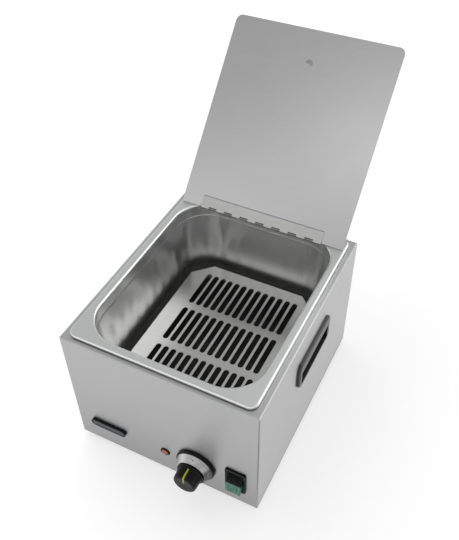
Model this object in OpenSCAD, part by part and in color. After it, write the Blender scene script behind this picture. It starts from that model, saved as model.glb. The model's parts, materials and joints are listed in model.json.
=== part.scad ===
// Hot dog steamer for a counter: a heated water pan in a sheet metal casing, with a
// perforated plate in the pan and a lid on a long hinge, shown leaning back wide open.
// The origin is the centre of the casing's footprint, on the surface that it stands on.
// The front, with the controls, faces -Y.

/* [Casing] */
// Width of the casing's top that shows on each side of the pan's rim
side_ledge = 9; // [6:0.5:30]
// Width of the casing's top that shows in front of the rim and behind it
end_ledge = 6.5; // [4:0.5:30]
// Height of the room for the heater and the wiring, from the casing's lower edge to the pan
works_h = 69; // [66:1:110]
// Thickness of the casing's sheet
sheet_t = 1; // [0.8:0.1:1.4]
// Outside radius of the casing's bends
bend_r = 2.5; // [2:0.1:4]
// Height that the feet lift the casing
foot_h = 8; // [7:0.5:20]
// Largest diameter of a foot
foot_d = 22; // [18:1:30]
// Distance from the casing's sides to the middle of a foot
foot_inset = 27; // [24:1:45]

/* [Water pan] */
// Width over the pan's rim
pan_w = 267; // [255:1:275]
// Depth over the pan's rim
pan_d = 325; // [318:1:328]
// Depth of the pan, from the top of its rim to its floor
pan_depth = 150; // [130:1:155]
// Thickness of the pan's metal
pan_t = 1; // [0.8:0.1:1.2]
// Height of the rim above the casing
rim_h = 6; // [4:0.5:10]
// Distance from the rim's outer edge to the pan's inner wall
rim_w = 12; // [11:0.5:14]
// Radius of the rim's outer corners
rim_corner_r = 12; // [8:1:16]
// Radius of the pan's inner corners, just below the rim
pan_corner_r = 52; // [40:1:60]
// Depth of the shoulder below the rim
shoulder_drop = 20; // [15:1:30]
// Width of the shoulder
shoulder_w = 2.5; // [1.5:0.5:4]
// How much each wall leans inwards, from the shoulder to the floor
pan_lean = 2; // [1:0.5:4]
// Radius between the pan's walls and its floor
pan_cove_r = 20; // [12:1:24]

/* [Perforated plate] */
// Room between the pan's wall and the plate, on each side
side_clearance = 16.5; // [10:0.5:30]
// Room between the pan's wall and the plate, at the front and the back
end_clearance = 17; // [10:0.5:40]
// Height of the plate's top above the pan's floor
plate_h = 34; // [25:1:60]
// Thickness of the plate
plate_t = 1.2; // [0.8:0.1:2]
// Length cut off each corner of the plate
plate_corner = 28; // [20:1:40]
// Depth of the folded edges
plate_fold = 10; // [6:1:14]
// Width of a slot
slot_w = 8.5; // [5:0.5:9]
// Distance between the middles of neighbouring slots
slot_pitch = 12.33; // [11:0.01:14]
// Plain metal between the slots and the plate's front and back edges
slot_margin = 19.5; // [12:0.5:40]
// Metal left between the rows of slots
slot_bridge = 12; // [8:1:20]

/* [Lid] */
// Distance from the rim's sides to the lid's sides
lid_side_inset = 3.5; // [0:0.5:12]
// Distance from the rim's front to the shut lid's free edge
lid_front_inset = 6.7; // [0:0.1:12]
// Thickness of the lid
lid_t = 1; // [0.8:0.1:1.2]
// Radius of the corners at the free edge
lid_corner_r = 10; // [4:1:20]
// Distance from the free edge to the knob's screw
lid_knob_inset = 48; // [30:1:120]
// Angle of the open lid, from shut
lid_open_deg = 132; // [100:1:140]
// Diameter of the lid's knob
lid_knob_d = 34; // [26:1:44]
// Height of the lid's knob
lid_knob_h = 27; // [20:1:36]

/* [Hinge] */
// Distance from the rim's rear edge to the hinge's axis
hinge_inset = 26.5; // [24.5:0.5:30]
// Distance from the lid's sides to the hinge's ends
hinge_end_inset = 32.25; // [30:0.25:60]
// Outside radius of the hinge's barrel
barrel_r = 2; // [1.8:0.1:2.4]
// Radius of the hinge's pin
hinge_pin_r = 1.1; // [0.8:0.1:1.2]
// Thickness of a hinge leaf
leaf_t = 0.8; // [0.6:0.1:1]
// Width of the leaf on the lid
lid_leaf_w = 14.5; // [12:0.5:20]
// Width of the leaf on the fixed strip
strip_leaf_w = 12; // [9:0.5:13]
// Number of knuckles in the barrel
knuckle_count = 15; // [7:2:21]

/* [Controls] */
// Distance from the casing's right side to the thermostat's axis
dial_inset = 91.5; // [82:0.5:100]
// Height of the thermostat's axis above the casing's lower edge
dial_z = 50; // [45:1:50]
// Radius of the black disc behind the dial ring
dial_base_r = 29; // [28:0.5:32]
// Thickness of that disc
dial_base_t = 5.5; // [4:0.5:8]
// Radius of the dial ring at the disc
dial_ring_r = 27; // [25:0.5:28]
// Radius of the dial ring's front edge
dial_front_r = 21.5; // [20.5:0.5:24]
// Height of the dial ring
dial_ring_h = 10.5; // [8:0.5:14]
// Radius of the knob
knob_r = 17.5; // [15:0.5:19]
// Distance that the knob stands out from the casing
knob_out = 38; // [34:1:45]
// Distance from the casing's right side to the pilot lamp
lamp_inset = 140.5; // [135:0.5:165]
// Height of the pilot lamp above the casing's lower edge
lamp_z = 45; // [30:1:55]
// Radius of the pilot lamp's bezel
lamp_bezel_r = 7.25; // [6.5:0.25:9]
// Distance from the casing's right side to the switch's middle
switch_inset = 32; // [20:0.5:38]
// Height of the switch's middle above the casing's lower edge
switch_z = 53; // [40:1:54]
// Width of the switch's frame
switch_w = 30; // [28:0.5:34]
// Height of the switch's frame
switch_h = 46; // [44:0.5:50]
// Tilt of the rocker, either way from level
rocker_tilt_deg = 9; // [6:0.5:10]
// Distance from the casing's left side to the badge's middle
badge_inset = 53; // [36:0.5:80]
// Height of the badge above the casing's lower edge
badge_z = 45.7; // [25:0.1:60]
// Length of the badge
badge_l = 57; // [40:1:70]
// Height of the badge
badge_h = 13; // [10:0.5:18]
// Distance that the badge stands out from the casing
badge_out = 4.5; // [2:0.5:6]

/* [Side handles] */
// Length of a handle's frame, front to back
handle_l = 109; // [100:1:130]
// Height of a handle's frame
handle_h = 46; // [42:1:54]
// Distance that the frame stands out from the casing
handle_out = 4.8; // [3:0.2:7]
// Height of the middle of the handles above the casing's lower edge
handle_z = 151; // [140:1:160]
// Distance from the casing's middle to the middle of the handles
handle_y = 3; // [-10:1:20]
// Height of the grip bar above the hand opening
grip_h = 17; // [12:0.5:18]
// Depth of the handle's pocket
pocket_depth = 15; // [10:0.5:16]
// Thickness of the handle's moulded walls
handle_wall = 1.5; // [1.2:0.1:2]

/* [Heater and wiring] */
// Radius of the heating element's tube
element_r = 4.25; // [3:0.25:5]
// Distance from the side of the pan's flat floor to the element's outer runs
element_side_inset = 37; // [28:1:45]
// Distance from the front of the pan's flat floor to the element's ends
element_front_inset = 21; // [14:1:40]
// Distance from the back of the pan's flat floor to the element's rear bends' middles
element_back_inset = 31; // [26:1:60]
// Radius of the hole for the mains cable
cable_hole_r = 3.6; // [3:0.1:4.5]
// Distance from the casing's left side to the cable gland
gland_inset = 52.5; // [36:0.5:80]
// Height of the cable gland above the casing's lower edge
gland_z = 32; // [26:1:60]

/* [Hidden] */

$fn = 64;
// Overrun of every cut past the face that it cuts through
cut = 1;

// Main sizes, levels and faces
body_w = pan_w + 2 * side_ledge;
body_d = pan_d + 2 * end_ledge;
body_h = works_h + pan_depth - rim_h;
base_z = foot_h;
top_z = base_z + body_h;
rim_z = top_z + rim_h;
floor_z = rim_z - pan_depth;
under_z = floor_z - pan_t;
front_y = -body_d / 2;
back_y = body_d / 2;
side_x = body_w / 2;

// Pan: half sizes of the inner wall under the rim, and the radii of the rim's own bends
wall_x = pan_w / 2 - rim_w;
wall_y = pan_d / 2 - rim_w;
lip_r = 3;
edge_r = 2;
rim_lap = 0.3;
shoulder_z = rim_z - shoulder_drop;
low_x = wall_x - shoulder_w;
low_y = wall_y - shoulder_w;
low_r = pan_corner_r - shoulder_w;
cove_steps = 6;
flat_x = low_x - pan_lean - pan_cove_r;
flat_y = low_y - pan_lean - pan_cove_r;

// Casing: its opening round the pan, and the widths of its inward edges
mouth_gap = 4.5;
mouth_x = wall_x + pan_t + mouth_gap;
mouth_y = wall_y + pan_t + mouth_gap;
mouth_r = pan_corner_r + pan_t + mouth_gap;
base_edge_w = 16;
rear_edge_w = 14;
panel_gap = 1;
wrap_d = body_d - sheet_t;

// Screws: shank radius, head radius and head height of the two sizes, and their clearances
screw_r = 2;
screw_head_r = 4;
screw_head_h = 2.6;
screw_gap = 0.15;
thread_gap = 0.05;
screw_l = 9;
cross_w = 0.9;
cross_l = 4.4;
cross_depth = 1.3;
nut_r = 4.04;
nut_h = 3.2;
nut_gap = 0.05;
back_screw_end = 22;
base_screw_end = 62;
foot_bore_r = 5.2;
foot_bore_h = 3.4;
foot_taper = 1.5;

// Base plate: its own edge and its air slots
base_inset = 3;
air_slot_l = 46;
air_slot_w = 4;
air_slot_pitch = 12;
air_slot_count = 6;
air_slot_inset = 90.5;
air_field_inset = 109;
air_slot_x = side_x - air_slot_inset;
air_slot_y = back_y - air_field_inset;

// Rim seal, between the rim and the casing's top
seal_w = 2.2;
seal_gap = 0.2;

// Perforated plate
plate_w = 2 * (wall_x - side_clearance);
plate_d = 2 * (wall_y - end_clearance);
leg_r = 4;
leg_side_inset = 14;
leg_end_inset = 36;
leg_x = plate_w / 2 - leg_side_inset;
leg_y = plate_d / 2 - leg_end_inset;
slot_side_margin = 30;
slot_columns = floor((plate_w - 2 * slot_side_margin) / slot_pitch) + 1;
slot_rows = 3;
slot_field_d = plate_d - 2 * slot_margin;
slot_l = (slot_field_d - (slot_rows - 1) * slot_bridge) / slot_rows;
plate_top_z = floor_z + plate_h;

// Hinge: the axis lies just above the shut lid, and the leaves lie on the sheets
axis_rise = 0.2;
hinge_z = rim_z + lid_t + axis_rise;
hinge_y = pan_d / 2 - hinge_inset;
ear_gap = 0.3;
lid_w = pan_w - 2 * lid_side_inset;
lid_l = hinge_y - ear_gap + pan_d / 2 - lid_front_inset;
lid_screw_y = lid_l - lid_knob_inset;
hinge_l = lid_w - 2 * hinge_end_inset;
strip_ear_gap = 0.8;
barrel_gap = 0.4;
knuckle_gap = 0.3;
pin_gap = 0.05;
pin_fixed_gap = 0.02;
knuckle_l = hinge_l / knuckle_count;
notch_side = 1;

// Fixed strip behind the hinge, its rivets and the stops that the open lid leans on
strip_inset = 1;
rivet_r = 1.6;
rivet_head_r = 2.9;
rivet_head_h = 1.1;
rivet_tail_r = 2.2;
rivet_in = 6.9;
rivet_shares = [-0.77, -0.27, 0.27, 0.77];
stop_inset = 62;
stop_x = lid_w / 2 - stop_inset;
stop_w = 16;
stop_t = 1.2;
stop_base = 9;
stop_gap = 0.3;
stop_y = pan_d / 2 - strip_inset - stop_t;

// Lid screw and knob
lid_screw_r = 2.4;
lid_screw_head_r = 5.3;
lid_screw_head_h = 2.4;
lid_screw_l = 13;
lid_bore_gap = 0.1;
lid_knob_neck_r = 9;
lid_knob_edge_r = 4;

// Thermostat
dial_x = side_x - dial_inset;
dial_h = base_z + dial_z;
therm_w = 36;
therm_l = 30;
bushing_r = 5;
bushing_out = 3;
shaft_r = 3;
shaft_back = 9;
shaft_front = 28;
shaft_gap = 0.05;
shaft_flat = 0.8;
therm_screw_x = 14;
therm_screw_r = 2;
therm_screw_head_r = 3.5;
therm_screw_head_h = 2.2;
therm_screw_in = 5;
pocket_gap = 0.7;
base_bore_r = 8;
hole_gap = 0.2;
tab_w = 6.3;
tab_t = 0.8;
tab_l = 8;

// Knob: its stem turns inside the dial ring, and its collar stands in front of the ring
stem_gap = 0.6;
stem_step = 1;
stem_r = knob_r - stem_step;
collar_step = 1.5;
collar_r = dial_front_r - collar_step;
collar_t = 2;
collar_gap = 0.5;
knob_edge_r = 3;
stem_end_gap = 1.5;
stem_y = front_y - dial_base_t - stem_end_gap;
collar_y = front_y - dial_base_t - dial_ring_h - collar_gap;
pointer_w = 2.4;
pointer_proud = 0.25;
pointer_sunk = 0.6;
pointer_gap = 0.02;
knob_bore_gap = 0.02;
pointer_low = 4;
pointer_start = 2;

// Pilot lamp
lamp_x = side_x - lamp_inset;
lamp_h = base_z + lamp_z;
lamp_r = 5;
lamp_bezel_t = 2;
lamp_lens_out = 3.4;
lamp_l = 20;
lamp_nut_r = 8.5;
lamp_nut_t = 3;
lens_gap = 0.1;

// Switch
switch_x = side_x - switch_inset;
switch_mid_z = base_z + switch_z;
switch_frame_t = 3;
switch_corner_r = 3.5;
switch_frame_side = 3.5;
switch_frame_end = 4.2;
rocker_gap = 0.3;
rocker_end_gap = 1.8;
window_w = switch_w - 2 * switch_frame_side;
window_h = switch_h - 2 * switch_frame_end;
rocker_w = window_w - 2 * rocker_gap;
rocker_half_h = window_h / 2 - rocker_end_gap;
switch_wall = 1.8;
switch_body_l = 20;
switch_cavity = 14;
rocker_pivot = 6;
rocker_rise = 1.2;
rocker_boss_r = 4;
rocker_pin_r = 1.5;
rocker_pin_l = 1;
rocker_heel = 1;
rocker_heel_in = 0.9;
lens_split = 0.8;
lens_depth = 0.5;

// Badge
badge_x = -side_x + badge_inset;
badge_plate_t = 0.7;
badge_edge = 2.2;
badge_lip = 1;

// Handles
handle_mid_z = base_z + handle_z;
handle_corner_r = 9;
handle_bevel = 1.6;
frame_end = 6;
frame_edge = 4;
pocket_l = handle_l - 2 * frame_end;
pocket_h = handle_h - 2 * frame_edge;
hand_l = pocket_l - 2 * handle_wall;
low_bar_h = 5;
hand_h = handle_h - grip_h - low_bar_h;
grip_t = 3;
handle_hole_gap = 0.5;
snap_l = 14;
snap_h = 1.3;
snap_t = 2.5;
snap_gap = 0.1;

// Heater: the element lies against the pan's underside, and a plate holds it there
element_z = under_z - element_r;
element_runs = 4;
element_pitch = 2 * (flat_x - element_side_inset) / (element_runs - 1);
element_near = -flat_y + element_front_inset + element_pitch;
element_far = flat_y - element_back_inset;
pin_r = 1.5;
pin_l = 10;
clamp_t = 1.5;
clamp_over = 12;
clamp_w = (element_runs - 1) * element_pitch + 2 * clamp_over;
clamp_front = element_near - clamp_over;
clamp_back = element_far - clamp_over;
clamp_z = element_z - element_r - clamp_t;
stud_r = 2.5;
stud_inset = 25;
stud_gap = 0.05;
stud_nut_r = 4.6;
stud_nut_h = 4;
spacer_r = 3.6;
spacer_l = 12;
shield_t = 0.8;
shield_over = 28;
shield_w = clamp_w + 2 * shield_over;
shield_z = clamp_z - stud_nut_h - spacer_l - shield_t;
stud_over = 1;
stud_end = shield_z - stud_nut_h - stud_over;
cutout_inset = 22;
cutout_y = -flat_y + cutout_inset;
cutout_r = 8;
cutout_h = 10;
cutout_flange_r = 12;
cutout_flange_t = 1.2;

// Thermostat bulb and its capillary tube
bulb_r = 3.2;
bulb_inset = 19;
bulb_front = element_near + bulb_inset;
bulb_l = 76;
capillary_r = 0.8;
capillary_hole_r = 3;
capillary_lead = 10;
capillary_y = bulb_front - capillary_lead;
clip_w = 8.4;
clip_l = 6;
clip_ear = 16;
clip_ear_t = 1;
clip_wall = 1;
clip_gap = 0.04;
clip_shares = [0.25, 0.75];
bulb_z = under_z - bulb_r;

// Mains connection
gland_x = -side_x + gland_inset;
gland_h = base_z + gland_z;
gland_thread_r = 7.9;
gland_hex_r = 12.7;
gland_hex_t = 5;
gland_dome_r = 10;
gland_tip_r = 7;
gland_out = 17;
gland_in = 13;
block_step_x = 18;
block_inset = 65;
block_x = gland_x + block_step_x;
block_y = back_y - block_inset;
block_w = 40;
block_l = 18;
block_h = 15;
block_step_h = 6;
block_pole = 12;
block_screw_r = 2;
earth_step_x = 62;
earth_inset = 57;
earth_x = gland_x + earth_step_x;
earth_y = back_y - earth_inset;
earth_l = 17;
wire_r = 1.3;
elbow_share = 1.2;
wire_rise = 9;
wire_straight = 7;

// A rectangle with true round corners
module round_rect(w, d, r) {
    square([w - 2 * r, d], center = true);
    square([w, d - 2 * r], center = true);
    for (sx = [-1, 1], sy = [-1, 1])
        translate([sx * (w / 2 - r), sy * (d / 2 - r)]) circle(r);
}

// A bar with half round ends
module stadium(l, h) {
    square([l - h, h], center = true);
    for (s = [-1, 1]) translate([s * (l - h) / 2, 0]) circle(h / 2);
}

// A box whose edges along all three directions are round, with its middle at the origin
module bent_box(w, d, h, r) {
    intersection() {
        translate([0, 0, -h / 2]) linear_extrude(h) round_rect(w, d, r);
        translate([0, d / 2, 0]) rotate([90, 0, 0]) linear_extrude(d) round_rect(w, h, r);
        translate([-w / 2, 0, 0]) rotate([90, 0, 90]) linear_extrude(w) round_rect(d, h, r);
    }
}

// Carries a profile round a rounded rectangle: its x points outwards, and its y points up
module around(hx, hy, r) {
    for (turn = [0, 180]) rotate([0, 0, turn]) {
        translate([hx, hy - r, 0]) rotate([90, 0, 0]) linear_extrude(2 * (hy - r)) children();
        translate([-(hx - r), hy, 0]) rotate([90, 0, 90])
            linear_extrude(2 * (hx - r)) children();
        translate([hx - r, hy - r, 0])
            rotate_extrude(angle = 90) translate([r, 0]) children();
        translate([-(hx - r), hy - r, 0]) rotate([0, 0, 90])
            rotate_extrude(angle = 90) translate([r, 0]) children();
    }
}

// A quarter of a bent sheet, curving from upright at x = 0 to level at y = 0
module bend_profile(r, t) {
    intersection() {
        translate([r, -r]) difference() {
            circle(r);
            circle(r - t);
        }
        translate([0, -r]) square(r);
    }
}

// Puts the z axis of what it holds along -Y, out of the casing's front, at a named place
module on_front(x, z) {
    translate([x, front_y, z]) rotate([90, 0, 0]) children();
}

// Puts the lid's own parts at its hinge: they are drawn with the lid shut
module on_lid() {
    translate([0, hinge_y, hinge_z]) rotate([-lid_open_deg, 0, 0]) children();
}

// A pan head screw, with its head above z = 0 and a cross in the head
module screw(r, l, head_r, head_h) {
    difference() {
        union() {
            translate([0, 0, -l]) cylinder(r = r, h = l);
            intersection() {
                cylinder(r = head_r, h = head_h);
                translate([0, 0, head_h - head_r * 2])
                    sphere(head_r * 2);
            }
        }
        for (turn = [0, 90]) rotate([0, 0, turn])
            translate([-cross_l / 2, -cross_w / 2, head_h - cross_depth])
                cube([cross_l, cross_w, cross_depth + cut]);
    }
}

// A round bar between two points
module bar(from, to, r) {
    way = to - from;
    l = norm(way);
    translate(from)
        rotate([0, acos(way[2] / l), atan2(way[1], way[0])]) cylinder(r = r, h = l, $fn = 24);
}

// A wire or thin tube along a list of points, with round elbows
module wire(points, r) {
    for (i = [1 : len(points) - 1]) bar(points[i - 1], points[i], r);
    if (len(points) > 2)
        for (i = [1 : len(points) - 2]) translate(points[i]) sphere(r * elbow_share, $fn = 24);
}

module hex_nut(r, h, bore) {
    difference() {
        cylinder(r = r, h = h, $fn = 6);
        translate([0, 0, -cut]) cylinder(r = bore, h = h + 2 * cut);
    }
}

// Places of the screws that hold the back panel and the base plate, and of the feet
back_screw_places = [for (sx = [-1, 1], z = [base_z + back_screw_end, base_z + body_h / 2,
    top_z - back_screw_end]) [sx * (side_x - rear_edge_w / 2), z]];
base_screw_places = [for (sx = [-1, 1], sy = [-1, 0, 1])
    [sx * (side_x - base_edge_w / 2), sy * (back_y - base_screw_end)]];
foot_places = [for (sx = [-1, 1], sy = [-1, 1])
    [sx * (side_x - foot_inset), sy * (back_y - foot_inset)]];

// Casing: front, sides and turned-in edges, bent from one sheet
module casing_wrap() {
    color("silver") difference() {
        translate([0, -sheet_t / 2, base_z + body_h / 2]) difference() {
            bent_box(body_w, wrap_d, body_h, bend_r);
            bent_box(body_w - 2 * sheet_t, wrap_d - 2 * sheet_t, body_h - 2 * sheet_t,
                bend_r - sheet_t);
        }
        translate([0, 0, top_z - sheet_t - cut]) linear_extrude(sheet_t + 2 * cut)
            round_rect(2 * mouth_x, 2 * mouth_y, mouth_r);
        translate([0, 0, base_z - cut]) linear_extrude(sheet_t + 2 * cut)
            square([body_w - 2 * base_edge_w, body_d - 2 * base_edge_w], center = true);
        translate([0, back_y - 2 * sheet_t - cut, base_z + body_h / 2]) rotate([-90, 0, 0])
            linear_extrude(2 * sheet_t + cut)
                square([body_w - 2 * rear_edge_w, body_h - 2 * rear_edge_w], center = true);
        for (p = back_screw_places) translate([p[0], back_y + cut, p[1]]) rotate([90, 0, 0])
            cylinder(r = screw_r + thread_gap, h = 2 * sheet_t + 2 * cut);
        for (p = base_screw_places) translate([p[0], p[1], base_z - cut])
            cylinder(r = screw_r + thread_gap, h = sheet_t + 2 * cut);
        for (sx = [-1, 1]) translate([sx * side_x, handle_y, handle_mid_z])
            cube([2 * (sheet_t + cut), pocket_l + 2 * handle_hole_gap,
                pocket_h + 2 * handle_hole_gap], center = true);
        on_front(dial_x, dial_h) translate([0, 0, -sheet_t - cut]) {
            cylinder(r = bushing_r + hole_gap, h = sheet_t + 2 * cut);
            for (sx = [-1, 1]) translate([sx * therm_screw_x, 0, 0])
                cylinder(r = therm_screw_r + hole_gap, h = sheet_t + 2 * cut);
        }
        on_front(lamp_x, lamp_h) translate([0, 0, -sheet_t - cut])
            cylinder(r = lamp_r + hole_gap, h = sheet_t + 2 * cut);
        on_front(switch_x, switch_mid_z) translate([0, 0, -sheet_t - cut])
            linear_extrude(sheet_t + 2 * cut)
                square([window_w + 2 * (switch_wall + hole_gap),
                    window_h + 2 * (switch_wall + hole_gap)], center = true);
    }
}

// Back panel, screwed on from behind over the casing's turned-in rear edges
module back_panel() {
    color("silver") difference() {
        translate([-side_x + panel_gap, back_y - sheet_t, base_z + panel_gap])
            cube([body_w - 2 * panel_gap, sheet_t, body_h - 2 * panel_gap]);
        for (p = back_screw_places) translate([p[0], back_y + cut, p[1]]) rotate([90, 0, 0])
            cylinder(r = screw_r + screw_gap, h = sheet_t + 2 * cut);
        translate([gland_x, back_y + cut, gland_h]) rotate([90, 0, 0])
            cylinder(r = gland_thread_r + hole_gap, h = sheet_t + 2 * cut);
    }
}

module back_screws() {
    color("gainsboro") for (p = back_screw_places)
        translate([p[0], back_y, p[1]]) rotate([-90, 0, 0])
            screw(screw_r, screw_l, screw_head_r, screw_head_h);
}

// Base plate under the casing, with slots that let air in below the wiring
module base_plate() {
    color("darkgray") difference() {
        translate([0, 0, base_z - sheet_t]) linear_extrude(sheet_t)
            round_rect(body_w - 2 * base_inset, body_d - 2 * base_inset, bend_r);
        for (p = base_screw_places) translate([p[0], p[1], base_z - sheet_t - cut])
            cylinder(r = screw_r + screw_gap, h = sheet_t + 2 * cut);
        for (p = foot_places) translate([p[0], p[1], base_z - sheet_t - cut])
            cylinder(r = screw_r + screw_gap, h = sheet_t + 2 * cut);
        translate([earth_x, earth_y, base_z - sheet_t - cut])
            cylinder(r = stud_r + screw_gap, h = sheet_t + 2 * cut);
        for (sx = [-1, 1], sy = [-1, 1], i = [0 : air_slot_count - 1])
            translate([sx * air_slot_x, sy * air_slot_y
                + (i - (air_slot_count - 1) / 2) * air_slot_pitch, base_z - sheet_t - cut])
                linear_extrude(sheet_t + 2 * cut) stadium(air_slot_l, air_slot_w);
    }
}

module base_screws() {
    color("gainsboro") for (p = base_screw_places)
        translate([p[0], p[1], base_z - sheet_t]) rotate([180, 0, 0])
            screw(screw_r, screw_l, screw_head_r, screw_head_h);
}

// Rubber feet, each with a sunk hole for its screw
module rubber_feet() {
    color("black") for (p = foot_places) translate([p[0], p[1], 0]) difference() {
        cylinder(r1 = foot_d / 2 - foot_taper, r2 = foot_d / 2, h = base_z - sheet_t);
        translate([0, 0, -cut]) cylinder(r = foot_bore_r, h = foot_bore_h + cut);
        translate([0, 0, -cut]) cylinder(r = screw_r + screw_gap, h = base_z + cut);
    }
}

module foot_screws() {
    color("gainsboro") for (p = foot_places) translate([p[0], p[1], foot_bore_h])
        rotate([180, 0, 0])
            screw(screw_r, base_z + nut_h + screw_r - foot_bore_h, screw_head_r, screw_head_h);
}

module foot_nuts() {
    color("gainsboro") for (p = foot_places) translate([p[0], p[1], base_z])
        hex_nut(nut_r, nut_h, screw_r + nut_gap);
}

// Outline of the pan's corner from its floor up to the shoulder, as a half section
function corner_section(r, h, lean, cove) = concat(
    [[0, 0], [r - lean - cove, 0]],
    [for (i = [0 : cove_steps]) let (a = -90 + 90 * i / cove_steps)
        [r - lean - cove + cove * cos(a), cove + cove * sin(a)]],
    [[r, h], [0, h]]);

// The pan's lower body as a solid, with its walls leaning in and its floor edge round
module pan_tub(grow) {
    hull() for (sx = [-1, 1], sy = [-1, 1])
        translate([sx * (low_x - low_r), sy * (low_y - low_r), floor_z - grow])
            rotate_extrude($fn = 56) polygon(corner_section(low_r + grow,
                shoulder_z - floor_z + grow, pan_lean, pan_cove_r + grow));
}

// Water pan: level rim with a turned-down edge, short upright band, shoulder and tub
module water_pan() {
    color("lightgray") {
        around(pan_w / 2 - edge_r, pan_d / 2 - edge_r, rim_corner_r - edge_r)
            translate([0, rim_z]) {
                translate([edge_r, 0]) mirror([1, 0]) bend_profile(edge_r, pan_t);
                translate([-rim_lap, -pan_t]) square([rim_lap, pan_t]);
                translate([edge_r - pan_t, -rim_h]) square([pan_t, rim_h - edge_r]);
            }
        translate([0, 0, rim_z - pan_t]) linear_extrude(pan_t) difference() {
            round_rect(pan_w - 2 * edge_r, pan_d - 2 * edge_r, rim_corner_r - edge_r);
            round_rect(2 * (wall_x + lip_r), 2 * (wall_y + lip_r), pan_corner_r + lip_r);
            for (s = rivet_shares) translate([s * lid_w / 2, pan_d / 2 - rivet_in])
                circle(rivet_r + thread_gap);
        }
        around(wall_x, wall_y, pan_corner_r) {
            translate([0, rim_z]) bend_profile(lip_r, pan_t);
            translate([lip_r, rim_z - pan_t]) square([rim_lap, pan_t]);
            translate([0, shoulder_z - pan_t]) square([pan_t, shoulder_drop - lip_r + pan_t]);
            translate([-shoulder_w - pan_t, shoulder_z - pan_t])
                square([shoulder_w + 2 * pan_t, pan_t]);
        }
        difference() {
            pan_tub(pan_t);
            pan_tub(0);
            translate([0, 0, shoulder_z + cut / 2])
                cube([pan_w, pan_d, cut], center = true);
        }
    }
}

// Seal between the pan's rim and the top of the casing
module rim_seal() {
    seal_x = pan_w / 2 - edge_r - seal_gap;
    seal_y = pan_d / 2 - edge_r - seal_gap;
    seal_r = rim_corner_r - edge_r - seal_gap;
    color("dimgray") translate([0, 0, top_z]) linear_extrude(rim_h - pan_t) difference() {
        round_rect(2 * seal_x, 2 * seal_y, seal_r);
        round_rect(2 * (seal_x - seal_w), 2 * (seal_y - seal_w), seal_r - seal_w);
    }
}

// Outline of the perforated plate: a rectangle with its corners cut off
module plate_outline(inset) {
    hx = plate_w / 2 - inset;
    hy = plate_d / 2 - inset;
    polygon([[-hx, -hy + plate_corner], [-hx + plate_corner, -hy], [hx - plate_corner, -hy],
        [hx, -hy + plate_corner], [hx, hy - plate_corner], [hx - plate_corner, hy],
        [-hx + plate_corner, hy], [-hx, hy - plate_corner]]);
}

// Perforated plate that carries the food above the water, with its edges folded down
module insert_plate() {
    fold_l = plate_d - 2 * plate_corner;
    fold_w = plate_w - 2 * plate_corner;
    color("lightgray") difference() {
        union() {
            translate([0, 0, plate_top_z - plate_t]) linear_extrude(plate_t)
                plate_outline(0);
            for (s = [-1, 1]) {
                translate([s * (plate_w - plate_t) / 2, 0, plate_top_z - plate_fold / 2])
                    cube([plate_t, fold_l, plate_fold], center = true);
                translate([0, s * (plate_d - plate_t) / 2, plate_top_z - plate_fold / 2])
                    cube([fold_w, plate_t, plate_fold], center = true);
            }
        }
        for (i = [0 : slot_columns - 1], j = [0 : slot_rows - 1])
            translate([(i - (slot_columns - 1) / 2) * slot_pitch,
                (j - (slot_rows - 1) / 2) * (slot_l + slot_bridge),
                plate_top_z - plate_t - cut])
                linear_extrude(plate_t + 2 * cut) {
                    square([slot_w, slot_l - slot_w], center = true);
                    for (s = [-1, 1]) translate([0, s * (slot_l - slot_w) / 2])
                        circle(slot_w / 2);
                }
    }
}

// Legs that hold the plate clear of the pan's floor
module insert_legs() {
    color("lightgray") for (sx = [-1, 1], sy = [-1, 1])
        translate([sx * leg_x, sy * leg_y, floor_z]) cylinder(r = leg_r, h = plate_h - plate_t);
}

// Outline of a lid or strip edge at the hinge: full width at the ends, set back at the barrel
module hinge_notch(depth) {
    square([hinge_l + 2 * notch_side, 2 * depth], center = true);
}

// Fixed strip on the rear of the rim, which carries the hinge
module rear_strip() {
    strip_end = pan_d / 2 - strip_inset - hinge_y;
    color("lightgray") translate([0, hinge_y, rim_z]) linear_extrude(lid_t) difference() {
        translate([-lid_w / 2, strip_ear_gap])
            square([lid_w, strip_end - strip_ear_gap]);
        hinge_notch(barrel_r + barrel_gap);
        for (s = rivet_shares)
            translate([s * lid_w / 2, pan_d / 2 - rivet_in - hinge_y])
                circle(rivet_r + thread_gap);
    }
}

module strip_rivets() {
    color("gainsboro") for (s = rivet_shares)
        translate([s * lid_w / 2, pan_d / 2 - rivet_in, rim_z]) {
            translate([0, 0, -pan_t]) cylinder(r = rivet_r, h = lid_t + pan_t);
            translate([0, 0, lid_t]) cylinder(r1 = rivet_head_r, r2 = rivet_r, h = rivet_head_h);
            translate([0, 0, -pan_t - rivet_head_h])
                cylinder(r1 = rivet_r, r2 = rivet_tail_r, h = rivet_head_h);
        }
}

// Two bent stops on the strip, which the open lid leans on
module lid_stops() {
    lean = sin(lid_open_deg) / -cos(lid_open_deg);
    stop_top = hinge_z + (stop_y - hinge_y) * lean - stop_gap;
    color("lightgray") for (s = [-1, 1])
        translate([s * stop_x - stop_w / 2, stop_y, rim_z + lid_t]) {
            translate([0, stop_t - stop_base, 0]) cube([stop_w, stop_base, stop_t]);
            cube([stop_w, stop_t, stop_top - rim_z - lid_t]);
        }
}

// One knuckle of the barrel, along X from x = 0
module knuckle(bore) {
    rotate([90, 0, 90]) difference() {
        cylinder(r = barrel_r, h = knuckle_l - knuckle_gap);
        translate([0, 0, -cut]) cylinder(r = bore, h = knuckle_l + 2 * cut);
    }
}

// Start of each knuckle: even ones belong to the lid, and odd ones to the strip
function knuckle_x(i) = -hinge_l / 2 + i * knuckle_l + knuckle_gap / 2;

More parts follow.
